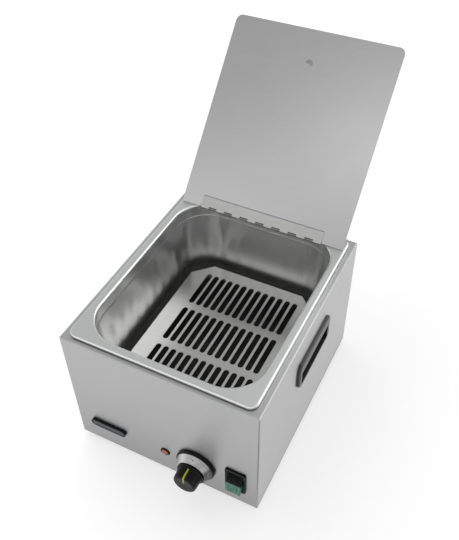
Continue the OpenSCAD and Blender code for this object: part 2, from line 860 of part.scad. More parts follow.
// The metal that joins a knuckle to its leaf, clear of the bore
module knuckle_web(bore, reach, low, high) {
    difference() {
        translate([0, 0, low]) cube([knuckle_l - knuckle_gap, reach, high - low]);
        rotate([90, 0, 90]) translate([0, 0, -cut])
            cylinder(r = (barrel_r + bore) / 2, h = knuckle_l + 2 * cut);
    }
}

// Leaf of the hinge on top of the fixed strip
module hinge_fixed_leaf() {
    bore = hinge_pin_r + pin_fixed_gap;
    leaf_y = barrel_r + barrel_gap;
    color("silver") translate([0, hinge_y, hinge_z]) {
        translate([-hinge_l / 2, leaf_y, -axis_rise])
            cube([hinge_l, strip_leaf_w, leaf_t]);
        for (i = [1 : 2 : knuckle_count - 2]) translate([knuckle_x(i), 0, 0]) {
            knuckle(bore);
            knuckle_web(bore, leaf_y + leaf_t, -axis_rise, leaf_t - axis_rise);
        }
    }
}

module hinge_pin() {
    color("gray") translate([-hinge_l / 2, hinge_y, hinge_z]) rotate([0, 90, 0])
        cylinder(r = hinge_pin_r, h = hinge_l);
}

// Leaf of the hinge on the lid's inner face
module hinge_lid_leaf() {
    bore = hinge_pin_r + pin_gap;
    leaf_y = barrel_r + barrel_gap;
    low = -axis_rise - lid_t - leaf_t;
    color("silver") on_lid() {
        translate([-hinge_l / 2, -leaf_y - lid_leaf_w, low])
            cube([hinge_l, lid_leaf_w, leaf_t]);
        for (i = [0 : 2 : knuckle_count - 1]) translate([knuckle_x(i), 0, 0]) {
            knuckle(bore);
            mirror([0, 1, 0]) knuckle_web(bore, leaf_y + leaf_t, low, low + leaf_t);
        }
    }
}

// Lid: a flat sheet with round corners at its free edge
module lid_panel() {
    color("silver") on_lid() translate([0, 0, -axis_rise - lid_t]) linear_extrude(lid_t)
        difference() {
            translate([0, -ear_gap]) {
                translate([-lid_w / 2, -lid_l + lid_corner_r])
                    square([lid_w, lid_l - lid_corner_r]);
                translate([-lid_w / 2 + lid_corner_r, -lid_l])
                    square([lid_w - 2 * lid_corner_r, lid_corner_r]);
                for (s = [-1, 1])
                    translate([s * (lid_w / 2 - lid_corner_r), -lid_l + lid_corner_r])
                        circle(lid_corner_r);
            }
            hinge_notch(barrel_r + barrel_gap);
            translate([0, -ear_gap - lid_screw_y]) circle(lid_screw_r + lid_bore_gap);
        }
}

// Screw through the lid from its inner face, into the knob
module lid_screw() {
    color("gainsboro") on_lid()
        translate([0, -ear_gap - lid_screw_y, -axis_rise - lid_t]) rotate([180, 0, 0])
            screw(lid_screw_r, lid_screw_l, lid_screw_head_r, lid_screw_head_h);
}

// Round knob on the lid's outer face
module lid_knob() {
    r = lid_knob_d / 2;
    color("black") on_lid() translate([0, -ear_gap - lid_screw_y, -axis_rise])
        rotate_extrude() difference() {
            union() {
                square([lid_knob_neck_r, lid_knob_h - lid_knob_edge_r]);
                translate([0, lid_knob_h - 3 * lid_knob_edge_r])
                    square([r - lid_knob_edge_r, 3 * lid_knob_edge_r]);
                translate([0, lid_knob_h - 2 * lid_knob_edge_r])
                    square([r, lid_knob_edge_r]);
                for (up = [1, 2])
                    translate([r - lid_knob_edge_r, lid_knob_h - up * lid_knob_edge_r])
                        circle(lid_knob_edge_r);
            }
            square([lid_screw_r + lid_bore_gap, lid_screw_l]);
        }
}

// Moulded handle with a pocket for the fingers, drawn for the right side
module handle() {
    frame_x = side_x;
    hand_z = -handle_h / 2 + low_bar_h;
    translate([0, handle_y, handle_mid_z]) difference() {
        union() {
            hull() {
                translate([frame_x, 0, 0]) rotate([90, 0, 90])
                    linear_extrude(handle_out - handle_bevel)
                        round_rect(handle_l, handle_h, handle_corner_r, $fn = 32);
                translate([frame_x, 0, 0]) rotate([90, 0, 90]) linear_extrude(handle_out)
                    round_rect(handle_l - 2 * handle_bevel, handle_h - 2 * handle_bevel,
                        handle_corner_r - handle_bevel, $fn = 32);
            }
            translate([frame_x - pocket_depth, -pocket_l / 2, -pocket_h / 2])
                cube([pocket_depth + cut / 2, pocket_l, pocket_h]);
            for (sz = [-1, 1]) translate([frame_x - sheet_t - snap_gap - snap_t, -snap_l / 2,
                sz * (pocket_h / 2 + snap_h / 2) - snap_h / 2])
                cube([snap_t, snap_l, snap_h]);
        }
        translate([frame_x - pocket_depth + handle_wall, -hand_l / 2, hand_z])
            cube([pocket_depth + handle_out + cut, hand_l, hand_h]);
        translate([frame_x - pocket_depth + handle_wall, -hand_l / 2, hand_z])
            cube([pocket_depth + handle_out - handle_wall - grip_t, hand_l,
                pocket_h / 2 - handle_wall - hand_z]);
    }
}

module handle_right() { color("#1e1e1e") handle(); }
module handle_left() { color("#1e1e1e") mirror([1, 0, 0]) handle(); }

// Black disc behind the dial, with room for the thermostat's two screws
module dial_base() {
    color("#1a1a1a") on_front(dial_x, dial_h) difference() {
        cylinder(r = dial_base_r, h = dial_base_t);
        translate([0, 0, -cut]) cylinder(r = base_bore_r, h = dial_base_t + 2 * cut);
        for (s = [-1, 1]) translate([s * therm_screw_x, 0, -cut])
            cylinder(r = therm_screw_head_r + pocket_gap, h = dial_base_t + 2 * cut);
    }
}

// Brushed ring that carries the scale, slightly conical
module dial_ring() {
    color("darkgray") on_front(dial_x, dial_h) translate([0, 0, dial_base_t]) difference() {
        cylinder(r1 = dial_ring_r, r2 = dial_front_r, h = dial_ring_h);
        translate([0, 0, -cut]) cylinder(r = stem_r + stem_gap, h = dial_ring_h + 2 * cut);
    }
}

// Thermostat behind the front sheet, with its threaded neck and two terminals
module thermostat_body() {
    color("ivory") on_front(dial_x, dial_h) difference() {
        union() {
            translate([-therm_w / 2, -therm_w / 2, -sheet_t - therm_l])
                cube([therm_w, therm_w, therm_l]);
            translate([0, 0, -sheet_t]) cylinder(r = bushing_r, h = sheet_t + bushing_out);
            for (s = [-1, 1]) translate([s * therm_w / 4 - tab_w / 2, 0,
                -sheet_t - therm_l - tab_l]) cube([tab_w, tab_t, tab_l]);
        }
        translate([0, 0, -shaft_back]) cylinder(r = shaft_r + shaft_gap,
            h = shaft_back + bushing_out + cut);
        for (s = [-1, 1]) translate([s * therm_screw_x, 0, -sheet_t - therm_screw_in])
            cylinder(r = therm_screw_r + thread_gap, h = therm_screw_in + cut);
    }
}

module thermostat_screws() {
    color("gainsboro") on_front(dial_x, dial_h) for (s = [-1, 1])
        translate([s * therm_screw_x, 0, 0]) screw(therm_screw_r,
            sheet_t + therm_screw_in, therm_screw_head_r, therm_screw_head_h);
}

// Thermostat shaft, with a flat that drives the knob
module thermostat_shaft() {
    color("gainsboro") on_front(dial_x, dial_h) difference() {
        translate([0, 0, -shaft_back]) cylinder(r = shaft_r, h = shaft_back + shaft_front);
        translate([-shaft_r, shaft_r - shaft_flat, bushing_out + cut])
            cube([2 * shaft_r, shaft_r, shaft_front]);
    }
}

// Half section of the knob: stem, collar and body with a round front edge
module knob_section(grow) {
    stem_z = front_y - stem_y;
    collar_z = front_y - collar_y;
    translate([0, stem_z]) square([stem_r, collar_z - stem_z]);
    translate([0, collar_z]) square([collar_r, collar_t]);
    translate([0, collar_z]) square([knob_r + grow, knob_out - knob_edge_r - collar_z]);
    square([knob_r - knob_edge_r, knob_out + grow]);
    translate([knob_r - knob_edge_r, knob_out - knob_edge_r]) circle(knob_edge_r + grow);
}

// Room that the pointer takes in the knob's side and face
module pointer_slab(w) {
    collar_z = front_y - collar_y;
    translate([-w / 2, pointer_low, collar_z + collar_t + pointer_start])
        cube([w, knob_r, knob_out]);
}

module knob_solid(grow) {
    stem_z = front_y - stem_y;
    intersection() {
        rotate_extrude() knob_section(grow);
        translate([0, 0, stem_z]) cylinder(r = collar_r + cut, h = knob_out);
    }
}

// Inside of the pointer's groove, a shell's depth below the knob's surface
module knob_core() {
    rotate_extrude() {
        square([knob_r - pointer_sunk, knob_out - knob_edge_r]);
        square([knob_r - knob_edge_r, knob_out - pointer_sunk]);
        translate([knob_r - knob_edge_r, knob_out - knob_edge_r])
            circle(knob_edge_r - pointer_sunk);
    }
}

// Knob: it is pushed on the shaft, and its stem runs inside the dial ring
module control_knob() {
    color("#1a1a1a") on_front(dial_x, dial_h) difference() {
        knob_solid(0);
        difference() {
            pointer_slab(pointer_w + 2 * pointer_gap);
            knob_core();
        }
        difference() {
            cylinder(r = shaft_r + knob_bore_gap, h = shaft_front + knob_bore_gap);
            translate([-shaft_r, shaft_r - shaft_flat + knob_bore_gap, 0])
                cube([2 * shaft_r, shaft_r, shaft_front + cut]);
        }
    }
}

// Lime pointer let into the top of the knob and down its face
module knob_pointer() {
    color("yellowgreen") on_front(dial_x, dial_h) intersection() {
        difference() {
            knob_solid(pointer_proud);
            knob_core();
        }
        pointer_slab(pointer_w);
    }
}

// Bulb against the pan's underside and the capillary tube to the thermostat
module thermostat_bulb() {
    therm_back = front_y + sheet_t + therm_l;
    color("goldenrod") {
        translate([0, bulb_front, bulb_z]) rotate([-90, 0, 0])
            cylinder(r = bulb_r, h = bulb_l);
        wire([[0, bulb_front, bulb_z], [0, capillary_y, bulb_z],
            [0, capillary_y, shield_z - stud_nut_h], [dial_x, therm_back + therm_l / 2,
            shield_z - stud_nut_h], [dial_x, therm_back + tab_l, dial_h - therm_w / 4],
            [dial_x, therm_back, dial_h - therm_w / 4]], capillary_r);
    }
}

// Clips that press the bulb to the pan
module bulb_clips() {
    color("gray") for (share = clip_shares)
        translate([0, bulb_front + share * bulb_l, 0]) difference() {
            union() {
                translate([-clip_w / 2, -clip_l / 2, under_z - 2 * bulb_r - clip_wall])
                    cube([clip_w, clip_l, 2 * bulb_r + clip_wall]);
                translate([-clip_ear / 2, -clip_l / 2, under_z - clip_ear_t])
                    cube([clip_ear, clip_l, clip_ear_t]);
            }
            translate([0, -clip_l, bulb_z]) rotate([-90, 0, 0])
                cylinder(r = bulb_r + clip_gap, h = 2 * clip_l);
            translate([-bulb_r - clip_gap, -clip_l, bulb_z])
                cube([2 * (bulb_r + clip_gap), 2 * clip_l, 2 * bulb_r]);
        }
}

module lamp_bezel() {
    color("#1a1a1a") on_front(lamp_x, lamp_h) difference() {
        cylinder(r1 = lamp_bezel_r, r2 = lamp_bezel_r - lamp_bezel_t / 2, h = lamp_bezel_t);
        translate([0, 0, -cut]) cylinder(r = lamp_r + lens_gap, h = lamp_bezel_t + 2 * cut);
    }
}

// Domed lens of the pilot lamp
module lamp_lens() {
    color("coral") on_front(lamp_x, lamp_h) intersection() {
        cylinder(r = lamp_r, h = lamp_lens_out);
        translate([0, 0, lamp_lens_out - 2 * lamp_r]) sphere(2 * lamp_r);
    }
}

module lamp_body() {
    color("ivory") on_front(lamp_x, lamp_h) {
        translate([0, 0, -lamp_l]) cylinder(r = lamp_r, h = lamp_l);
        for (s = [-1, 1]) translate([s * lamp_r / 2 - tab_t / 2, -tab_w / 4, -lamp_l - tab_l])
            cube([tab_t, tab_w / 2, tab_l]);
    }
}

module lamp_nut() {
    color("gray") on_front(lamp_x, lamp_h) translate([0, 0, -sheet_t - lamp_nut_t])
        hex_nut(lamp_nut_r, lamp_nut_t, lamp_r + nut_gap);
}

// Black frame round the rocker
module switch_frame() {
    color("#15201f") on_front(switch_x, switch_mid_z) linear_extrude(switch_frame_t)
        difference() {
            round_rect(switch_w, switch_h, switch_corner_r);
            square([window_w, window_h], center = true);
        }
}

// Switch body, open at the front where the rocker tips
module switch_body() {
    color("#202020") on_front(switch_x, switch_mid_z) difference() {
        translate([0, 0, -switch_body_l]) linear_extrude(switch_body_l)
            square([window_w + 2 * switch_wall, window_h + 2 * switch_wall], center = true);
        translate([0, 0, -switch_cavity]) linear_extrude(switch_cavity + cut)
            square([window_w, window_h], center = true);
        translate([-rocker_w / 2 - rocker_pin_l - pin_gap, 0, -rocker_pivot])
            rotate([0, 90, 0]) cylinder(r = rocker_pin_r + pin_gap,
                h = rocker_w + 2 * (rocker_pin_l + pin_gap));
    }
}

module switch_tabs() {
    color("gainsboro") on_front(switch_x, switch_mid_z) for (sx = [-1, 1], sz = [-1, 1])
        translate([sx * window_w / 4 - tab_t / 2, sz * window_h / 5 - tab_w / 2,
            -switch_body_l - tab_l]) cube([tab_t, tab_w, tab_l]);
}

// The rocker as one solid, level, on its pivot
module rocker_solid() {
    rise = rocker_half_h * tan(rocker_tilt_deg);
    rotate([90, 0, 90]) translate([0, 0, -rocker_w / 2]) linear_extrude(rocker_w) {
        polygon([[0, rocker_rise], [rocker_half_h, rocker_rise + rise],
            [rocker_half_h - rocker_heel_in, -rocker_heel], [rocker_boss_r, -rocker_pivot],
            [-rocker_boss_r, -rocker_pivot], [-rocker_half_h + rocker_heel_in, -rocker_heel],
            [-rocker_half_h, rocker_rise + rise]]);
        translate([0, -rocker_pivot]) circle(rocker_boss_r);
    }
    translate([-rocker_w / 2 - rocker_pin_l, 0, -rocker_pivot]) rotate([0, 90, 0])
        cylinder(r = rocker_pin_r, h = rocker_w + 2 * rocker_pin_l);
}

// Region of the clear cap, which covers the rocker's lower half
module lens_region() {
    translate([-rocker_w, -2 * rocker_half_h, -lens_depth])
        cube([2 * rocker_w, 2 * rocker_half_h - lens_split, 2 * rocker_half_h]);
}

// Tips the rocker to its resting side, with its upper half pressed in
module tipped() {
    on_front(switch_x, switch_mid_z) translate([0, 0, -rocker_pivot])
        rotate([-rocker_tilt_deg, 0, 0]) translate([0, 0, rocker_pivot]) children();
}

module switch_rocker() {
    color("#15201f") tipped() difference() {
        rocker_solid();
        lens_region();
    }
}

module rocker_lens() {
    color("seagreen") tipped() intersection() {
        rocker_solid();
        lens_region();
    }
}

// Badge: a raised black surround and a bare plate
module badge_base() {
    color("#15181a") on_front(badge_x, base_z + badge_z) difference() {
        linear_extrude(badge_out) stadium(badge_l, badge_h);
        translate([0, 0, badge_out - badge_lip]) linear_extrude(badge_lip + cut)
            stadium(badge_l - 2 * badge_edge, badge_h - 2 * badge_edge);
    }
}

module badge_plate() {
    inset = badge_edge + hole_gap;
    color("gray") on_front(badge_x, base_z + badge_z)
        translate([0, 0, badge_out - badge_lip]) linear_extrude(badge_plate_t)
            stadium(badge_l - 2 * inset, badge_h - 2 * inset);
}

// Half ring of the element's tube, from one run to the next
module element_bend(x, y, turn) {
    translate([x, y, element_z]) rotate([0, 0, turn])
        rotate_extrude(angle = 180) translate([element_pitch / 2, 0]) circle(element_r);
}

// Heating element: four runs under the pan's floor, joined by half rings
module heating_element() {
    color("dimgray") {
        for (i = [-1.5, -0.5, 0.5, 1.5]) {
            start = abs(i) > 1 ? element_near - element_pitch : element_near;
            translate([i * element_pitch, start, element_z]) rotate([-90, 0, 0])
                cylinder(r = element_r, h = element_far - start);
        }
        for (s = [-1, 1]) element_bend(s * element_pitch, element_far, 0);
        element_bend(0, element_near, 180);
    }
}

// Connecting pins at the element's two ends
module element_pins() {
    color("gainsboro") for (s = [-1.5, 1.5])
        translate([s * element_pitch, element_near - element_pitch - pin_l, element_z])
            rotate([-90, 0, 0]) cylinder(r = pin_r, h = pin_l);
}

stud_places = [for (sx = [-1, 1], y = [element_near + stud_inset, element_far - stud_inset])
    [sx * element_pitch, y]];

// Plate that presses the element against the pan
module element_plate() {
    color("gainsboro") translate([0, 0, clamp_z]) linear_extrude(clamp_t) difference() {
        translate([-clamp_w / 2, clamp_front]) square([clamp_w, clamp_back - clamp_front]);
        for (p = stud_places) translate(p) circle(stud_r + screw_gap);
        translate([0, capillary_y]) circle(capillary_hole_r);
    }
}

module pan_studs() {
    color("gray") for (p = stud_places) translate([p[0], p[1], stud_end])
        cylinder(r = stud_r, h = under_z - stud_end);
}

module stud_nuts() {
    color("gainsboro") for (p = stud_places, z = [clamp_z, shield_z])
        translate([p[0], p[1], z - stud_nut_h])
            hex_nut(stud_nut_r, stud_nut_h, stud_r + stud_gap);
}

module shield_spacers() {
    color("gray") for (p = stud_places) translate([p[0], p[1], shield_z + shield_t])
        difference() {
            cylinder(r = spacer_r, h = spacer_l);
            translate([0, 0, -cut]) cylinder(r = stud_r + stud_gap, h = spacer_l + 2 * cut);
        }
}

// Sheet that keeps the element's heat off the wiring
module heat_shield() {
    color("darkgray") translate([0, 0, shield_z]) linear_extrude(shield_t) difference() {
        translate([-shield_w / 2, clamp_front]) square([shield_w, clamp_back - clamp_front]);
        for (p = stud_places) translate(p) circle(stud_r + screw_gap);
        translate([0, capillary_y]) circle(capillary_hole_r);
    }
}

// Cut-out that stops the heater if the pan boils dry
module safety_cutout() {
    color("#303030") translate([0, cutout_y, under_z]) {
        translate([0, 0, -cutout_h]) cylinder(r = cutout_r, h = cutout_h);
        translate([0, 0, -cutout_flange_t]) cylinder(r = cutout_flange_r, h = cutout_flange_t);
        for (s = [-1, 1]) translate([s * cutout_r / 2 - tab_t / 2, -tab_w / 2,
            -cutout_h - tab_l]) cube([tab_t, tab_w, tab_l]);
    }
}

// Terminal block on the base plate, with its clamping screws
module terminal_block() {
    color("ivory") translate([block_x, block_y, base_z]) difference() {
        union() {
            translate([-block_w / 2, -block_l / 2, 0]) cube([block_w, block_l, block_step_h]);
            translate([-block_w / 2, -block_l / 4, 0]) cube([block_w, block_l / 2, block_h]);
        }
        for (i = [-1, 0, 1]) translate([i * block_pole, 0, block_step_h])
            cylinder(r = block_screw_r, h = block_h);
    }
}

// Earth bolt through the base plate, with its nut
module earth_bolt() {
    color("gainsboro") translate([earth_x, earth_y, base_z]) {
        translate([0, 0, -sheet_t]) cylinder(r = stud_r, h = sheet_t + earth_l);
        translate([0, 0, -sheet_t - screw_head_h]) cylinder(r = screw_head_r, h = screw_head_h);
        cylinder(r = stud_nut_r, h = stud_nut_h, $fn = 6);
    }
}

// Cable gland through the back panel
module cable_gland() {
    color("#202020") translate([gland_x, back_y, gland_h]) rotate([-90, 0, 0]) difference() {
        union() {
            translate([0, 0, -gland_in]) cylinder(r = gland_thread_r, h = gland_in);
            cylinder(r = gland_hex_r, h = gland_hex_t, $fn = 6);
            translate([0, 0, gland_hex_t])
                cylinder(r1 = gland_dome_r, r2 = gland_tip_r, h = gland_out - gland_hex_t);
        }
        translate([0, 0, -gland_in - cut])
            cylinder(r = cable_hole_r, h = gland_in + gland_out + 2 * cut);
    }
}

module gland_nut() {
    color("#202020") translate([gland_x, back_y - sheet_t, gland_h]) rotate([90, 0, 0])
        hex_nut(gland_hex_r, gland_hex_t, gland_thread_r + nut_gap);
}

// Faces and heights that the wires end on
switch_tab_y = front_y + switch_body_l + tab_l;
therm_tab_y = front_y + sheet_t + therm_l + tab_l;
pin_end_y = element_near - element_pitch - pin_l;
block_top_z = base_z + block_h;
pole_floor_z = base_z + block_step_h;
cutout_end_z = under_z - cutout_h - tab_l;
low_wire_z = base_z + 3 * wire_r;
high_wire_z = low_wire_z + 4 * wire_r;

// Live wires: block to switch, switch to thermostat, thermostat to element
module live_wires() {
    x_in = switch_x - window_w / 4;
    color("saddlebrown") {
        wire([[block_x - block_pole, block_y, pole_floor_z],
            [block_x - block_pole, block_y, block_top_z + wire_rise],
            [block_x - block_pole, block_y - block_l, low_wire_z],
            [x_in, switch_tab_y + block_l, low_wire_z],
            [x_in, switch_tab_y + wire_straight, switch_mid_z - window_h / 5],
            [x_in, switch_tab_y, switch_mid_z - window_h / 5]], wire_r);
        wire([[x_in, switch_tab_y, switch_mid_z + window_h / 5],
            [x_in, switch_tab_y + wire_straight, switch_mid_z + window_h / 5],
            [x_in, switch_tab_y + 2 * wire_straight, switch_mid_z],
            [dial_x + therm_w / 4, therm_tab_y + wire_straight, dial_h + tab_t / 2],
            [dial_x + therm_w / 4, therm_tab_y, dial_h + tab_t / 2]], wire_r);
        wire([[dial_x - therm_w / 4, therm_tab_y, dial_h + tab_t / 2],
            [dial_x - therm_w / 4, therm_tab_y + wire_straight, dial_h + tab_t / 2],
            [1.5 * element_pitch, pin_end_y - wire_straight, element_z],
            [1.5 * element_pitch, pin_end_y, element_z]], wire_r);
    }
}

// Neutral wires: block to switch, switch to cut-out, cut-out to the element's other end
module neutral_wires() {
    x_in = switch_x + window_w / 4;
    color("steelblue") {
        wire([[block_x, block_y, pole_floor_z],
            [block_x, block_y, block_top_z + wire_rise],
            [block_x, block_y - block_l, high_wire_z],
            [x_in, switch_tab_y + block_l, high_wire_z],
            [x_in, switch_tab_y + wire_straight, switch_mid_z - window_h / 5],
            [x_in, switch_tab_y, switch_mid_z - window_h / 5]], wire_r);
        wire([[x_in, switch_tab_y, switch_mid_z + window_h / 5],
            [x_in, pin_end_y, switch_mid_z + window_h / 5],
            [cutout_r / 2, cutout_y, cutout_end_z - wire_straight],
            [cutout_r / 2, cutout_y, cutout_end_z]], wire_r);
        wire([[-cutout_r / 2, cutout_y, cutout_end_z],
            [-cutout_r / 2, cutout_y, cutout_end_z - wire_straight],
            [-1.5 * element_pitch, pin_end_y - wire_straight, element_z],
            [-1.5 * element_pitch, pin_end_y, element_z]], wire_r);
    }
}

// Earth wire, from the block to the bolt in the base plate
module earth_wire() {
    color("yellowgreen") wire([[block_x + block_pole, block_y, pole_floor_z],
        [block_x + block_pole, block_y, block_top_z + wire_rise],
        [earth_x, earth_y, base_z + earth_l + wire_straight],
        [earth_x, earth_y, base_z + earth_l]], wire_r);
}

casing_wrap();
back_panel();
back_screws();
base_plate();
base_screws();
rubber_feet();
foot_screws();
foot_nuts();
water_pan();
rim_seal();
insert_plate();
insert_legs();
rear_strip();
strip_rivets();
lid_stops();
hinge_fixed_leaf();
hinge_pin();
hinge_lid_leaf();
lid_panel();
lid_screw();
lid_knob();
handle_left();
handle_right();
dial_base();
dial_ring();
thermostat_body();
thermostat_screws();
thermostat_shaft();
control_knob();
knob_pointer();
thermostat_bulb();
bulb_clips();
lamp_bezel();
lamp_lens();
lamp_body();
lamp_nut();
switch_frame();
switch_body();
switch_tabs();
switch_rocker();
rocker_lens();
badge_base();
badge_plate();
heating_element();
element_pins();
element_plate();
pan_studs();
stud_nuts();
shield_spacers();
heat_shield();
safety_cutout();
terminal_block();
earth_bolt();
cable_gland();
gland_nut();
live_wires();
neutral_wires();
earth_wire();
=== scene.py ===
# %% [markdown]
# # A counter steamer, dressed in Blender
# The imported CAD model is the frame. It gives every piece its size and place in metres,
# with Z up and the front towards -Y. This script gives the pieces their finish, and
# models again those whose edges, bends and small forms the eye looks for.

# %% Load the frame
import json
import math

import bmesh
import bpy
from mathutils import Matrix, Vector

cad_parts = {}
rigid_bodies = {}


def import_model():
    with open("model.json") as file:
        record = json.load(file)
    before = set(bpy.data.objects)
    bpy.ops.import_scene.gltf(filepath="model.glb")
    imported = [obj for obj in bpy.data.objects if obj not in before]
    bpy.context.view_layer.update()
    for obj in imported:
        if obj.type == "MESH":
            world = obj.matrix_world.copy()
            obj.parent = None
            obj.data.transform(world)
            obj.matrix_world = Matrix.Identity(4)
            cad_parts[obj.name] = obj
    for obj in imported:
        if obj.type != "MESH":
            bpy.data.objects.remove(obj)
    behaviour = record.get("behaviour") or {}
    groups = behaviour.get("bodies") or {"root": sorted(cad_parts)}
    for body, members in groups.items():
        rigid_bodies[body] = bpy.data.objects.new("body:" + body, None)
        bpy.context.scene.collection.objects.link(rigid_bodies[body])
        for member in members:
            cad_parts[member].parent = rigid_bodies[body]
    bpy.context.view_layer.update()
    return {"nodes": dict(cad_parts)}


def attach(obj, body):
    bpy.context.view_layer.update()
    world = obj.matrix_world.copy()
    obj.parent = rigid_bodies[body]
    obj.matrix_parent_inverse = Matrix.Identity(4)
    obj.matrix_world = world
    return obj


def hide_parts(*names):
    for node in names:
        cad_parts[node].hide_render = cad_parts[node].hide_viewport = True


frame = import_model()
print("pieces from the CAD model:", len(frame["nodes"]))

# %% [markdown]
# ## Units and colours
# Sizes are written in millimetres, as on a drawing, and turned to metres by one factor.
# Colours are written as sRGB hex values, as read off a colour chart. Blender mixes light
# in linear values, so one function converts them.

# %% Millimetres and hex colours
MM = 0.001
FRONT_Y = -169 * MM


def linear(chart):
    """The linear colour of an sRGB hex value."""
    shares = [int(chart[i:i + 2], 16) / 255 for i in (1, 3, 5)]
    return tuple(s / 12.92 if s <= 0.04045 else ((s + 0.055) / 1.055) ** 2.4
                 for s in shares) + (1.0,)


def shade(chart, times, plus=0.0):
    """The linear colour of an sRGB hex value, made darker or lighter."""
    return [min(share * times + plus, 1.0) for share in linear(chart)[:3]] + [1.0]


print("mid grey in linear light:", round(linear("#808080")[0], 3))
print("front of the casing at y", FRONT_Y / MM, "mm")

# %% [markdown]
# ## One way to add a node
# A material is a small graph. The first function adds one node, sets its options and its
# inputs, and links an input when it is given another node's output. The others add the
# nodes that come back most often, and return their output.

# %% Add a node
def node(tree, kind, inputs=None, **settings):
    """Adds a node. Inputs go by name or number, and are values or other nodes' outputs."""
    made = tree.nodes.new(kind)
    for name, value in settings.items():
        setattr(made, name, value)
    for name, value in (inputs or {}).items():
        if isinstance(value, bpy.types.NodeSocket):
            tree.links.new(value, made.inputs[name])
        else:
            made.inputs[name].default_value = value
    return made


def maths(tree, operation, *values, **settings):
    """One sum on up to three values."""
    made = node(tree, "ShaderNodeMath", dict(enumerate(values)), operation=operation,
                **settings)
    return made.outputs[0]


def ramp(tree, value, start, stop, end=1.0, way="SMOOTHSTEP"):
    """Runs from 0 to its end while the value goes from start to stop."""
    made = node(tree, "ShaderNodeMapRange", {0: value, 1: start, 2: stop, 3: 0.0, 4: end},
                interpolation_type=way)
    return made.outputs[0]


def between(tree, value, low, high):
    """1 where the value lies between two limits, and 0 elsewhere."""
    above = maths(tree, "GREATER_THAN", value, low)
    return maths(tree, "MULTIPLY", above, maths(tree, "LESS_THAN", value, high))


def blend(tree, share, first, second):
    """The colour that lies between two others by a share."""
    made = node(tree, "ShaderNodeMix", {0: share, 6: first, 7: second}, data_type="RGBA")
    return made.outputs[2]


def noise(tree, place, size, detail=2.0, rough=0.5):
    """Random tones in patches about so wide."""
    made = node(tree, "ShaderNodeTexNoise", {
        "Vector": place, "Scale": 1 / size, "Detail": detail, "Roughness": rough})
    return made.outputs[0]


def lined(tree, place, lines, detail=2.0, rough=0.5):
    """Random tones that repeat lines times per millimetre along x, y and z."""
    made = node(tree, "ShaderNodeMapping", {
        "Vector": place, "Scale": [count / MM for count in lines]})
    return noise(tree, made.outputs[0], 1.0, detail, rough)


def relief(tree, height, strength, distance, **under):
    """The way a surface faces where a height tilts it."""
    made = node(tree, "ShaderNodeBump", {
        "Height": height, "Strength": strength, "Distance": distance, **under})
    return made.outputs[0]


def shaded(name, **values):
    """A material with one surface shader. Returns it with its graph, shader and place."""
    made = bpy.data.materials.new(name)
    made.use_nodes = True
    tree = made.node_tree
    tree.nodes.clear()
    inputs = {key.replace("_", " "): value for key, value in values.items()}
    shader = node(tree, "ShaderNodeBsdfPrincipled", inputs)
    node(tree, "ShaderNodeOutputMaterial", {"Surface": shader.outputs[0]})
    place = node(tree, "ShaderNodeTexCoord").outputs["Object"]
    return made, tree, shader, place


def feed(tree, shader, **outs):
    """Links outputs to the shader's inputs of these names."""
    for name, out in outs.items():
        tree.links.new(out, shader.inputs[name.replace("_", " ")])


print("materials so far:", len(bpy.data.materials))

# %% [markdown]
# ## Brushed and rolled metal
# Sheet steel gets its look from the way it was ground. A belt with 240 grit leaves fine
# lines about 0.1 mm apart, all along the sheet. They are too fine for the picture, so
# they are drawn about 0.5 mm apart. The lines change how rough the metal is and tilt its
# surface a little. Handling leaves soft, wide patches that are slightly duller.

# %% Metal with a grain
HANDLED = 45 * MM


def metal(name, chart, rough, lines, depth=0.03, blotch=0.06, tint=0.06):
    """Metal whose grain repeats lines times per millimetre along x, y and z."""
    made, tree, shader, place = shaded(name, Metallic=1.0)
    grain = lined(tree, place, lines, 3.0, 0.6)
    dull = maths(tree, "MULTIPLY_ADD", noise(tree, place, HANDLED), blotch,
                 rough - blotch / 2)
    rub = maths(tree, "MULTIPLY_ADD", grain, 0.08, dull)
    tone = blend(tree, grain, shade(chart, 1 - tint), shade(chart, 1 + tint))
    tilt = relief(tree, grain, depth, 0.2 * MM)
    feed(tree, shader, Roughness=rub, Base_Color=tone, Normal=tilt)
    return made


def stretch_light(material, share, turn):
    """Spreads the light across the lines of the grain more than along them."""
    tree = material.node_tree
    shader = tree.nodes["Principled BSDF"]
    shader.inputs["Anisotropic"].default_value = share
    shader.inputs["Anisotropic Rotation"].default_value = turn
    round_z = node(tree, "ShaderNodeTangent", direction_type="RADIAL", axis="Z")
    feed(tree, shader, Tangent=round_z.outputs[0])


# Stainless steel 1.4301, ground along its length and bent round the casing: the lines
# run level on the front and the sides.
casing_steel = metal("brushed_stainless_casing", "#BBBBBC", 0.37, (0.03, 0.03, 1.6))
stretch_light(casing_steel, 0.6, 0.25)
# The lid is cut from the same sheet, with its grain from side to side.
lid_steel = metal("brushed_stainless_lid", "#BBBBBC", 0.19, (0.02, 1.2, 1.2), 0.02)
# Bright rolled stainless strip, stamped into hinge leaves.
hinge_steel = metal("rolled_stainless_hinge", "#B9B9B8", 0.32, (0.05, 0.8, 0.8), 0.01)
# The fixed leaf and its knuckles in between are painted darker, as painted shade in the gaps
# between the knuckles, and are duller.
shaded_knuckle_steel = metal("shaded_stainless_knuckle", "#8A8986", 0.42, (0.05, 0.8, 0.8), 0.02)
# Turned and pressed stainless fasteners, bright, with no grain along any one way.
fastener_steel = metal("pressed_stainless_fastener", "#C4C4C2", 0.22, (0.5, 0.5, 0.5))
# The lid's screw has a polished dome, which mirrors the bright and dark of the room.
screw_steel = metal("polished_stainless_screw", "#A8A8A7", 0.08, (0.5, 0.5, 0.5), 0.01)
# The slotted plate is punched from bright cold rolled stainless.
plate_steel = metal("punched_stainless_plate", "#B6B6B5", 0.26, (0.04, 0.7, 0.7), 0.008)
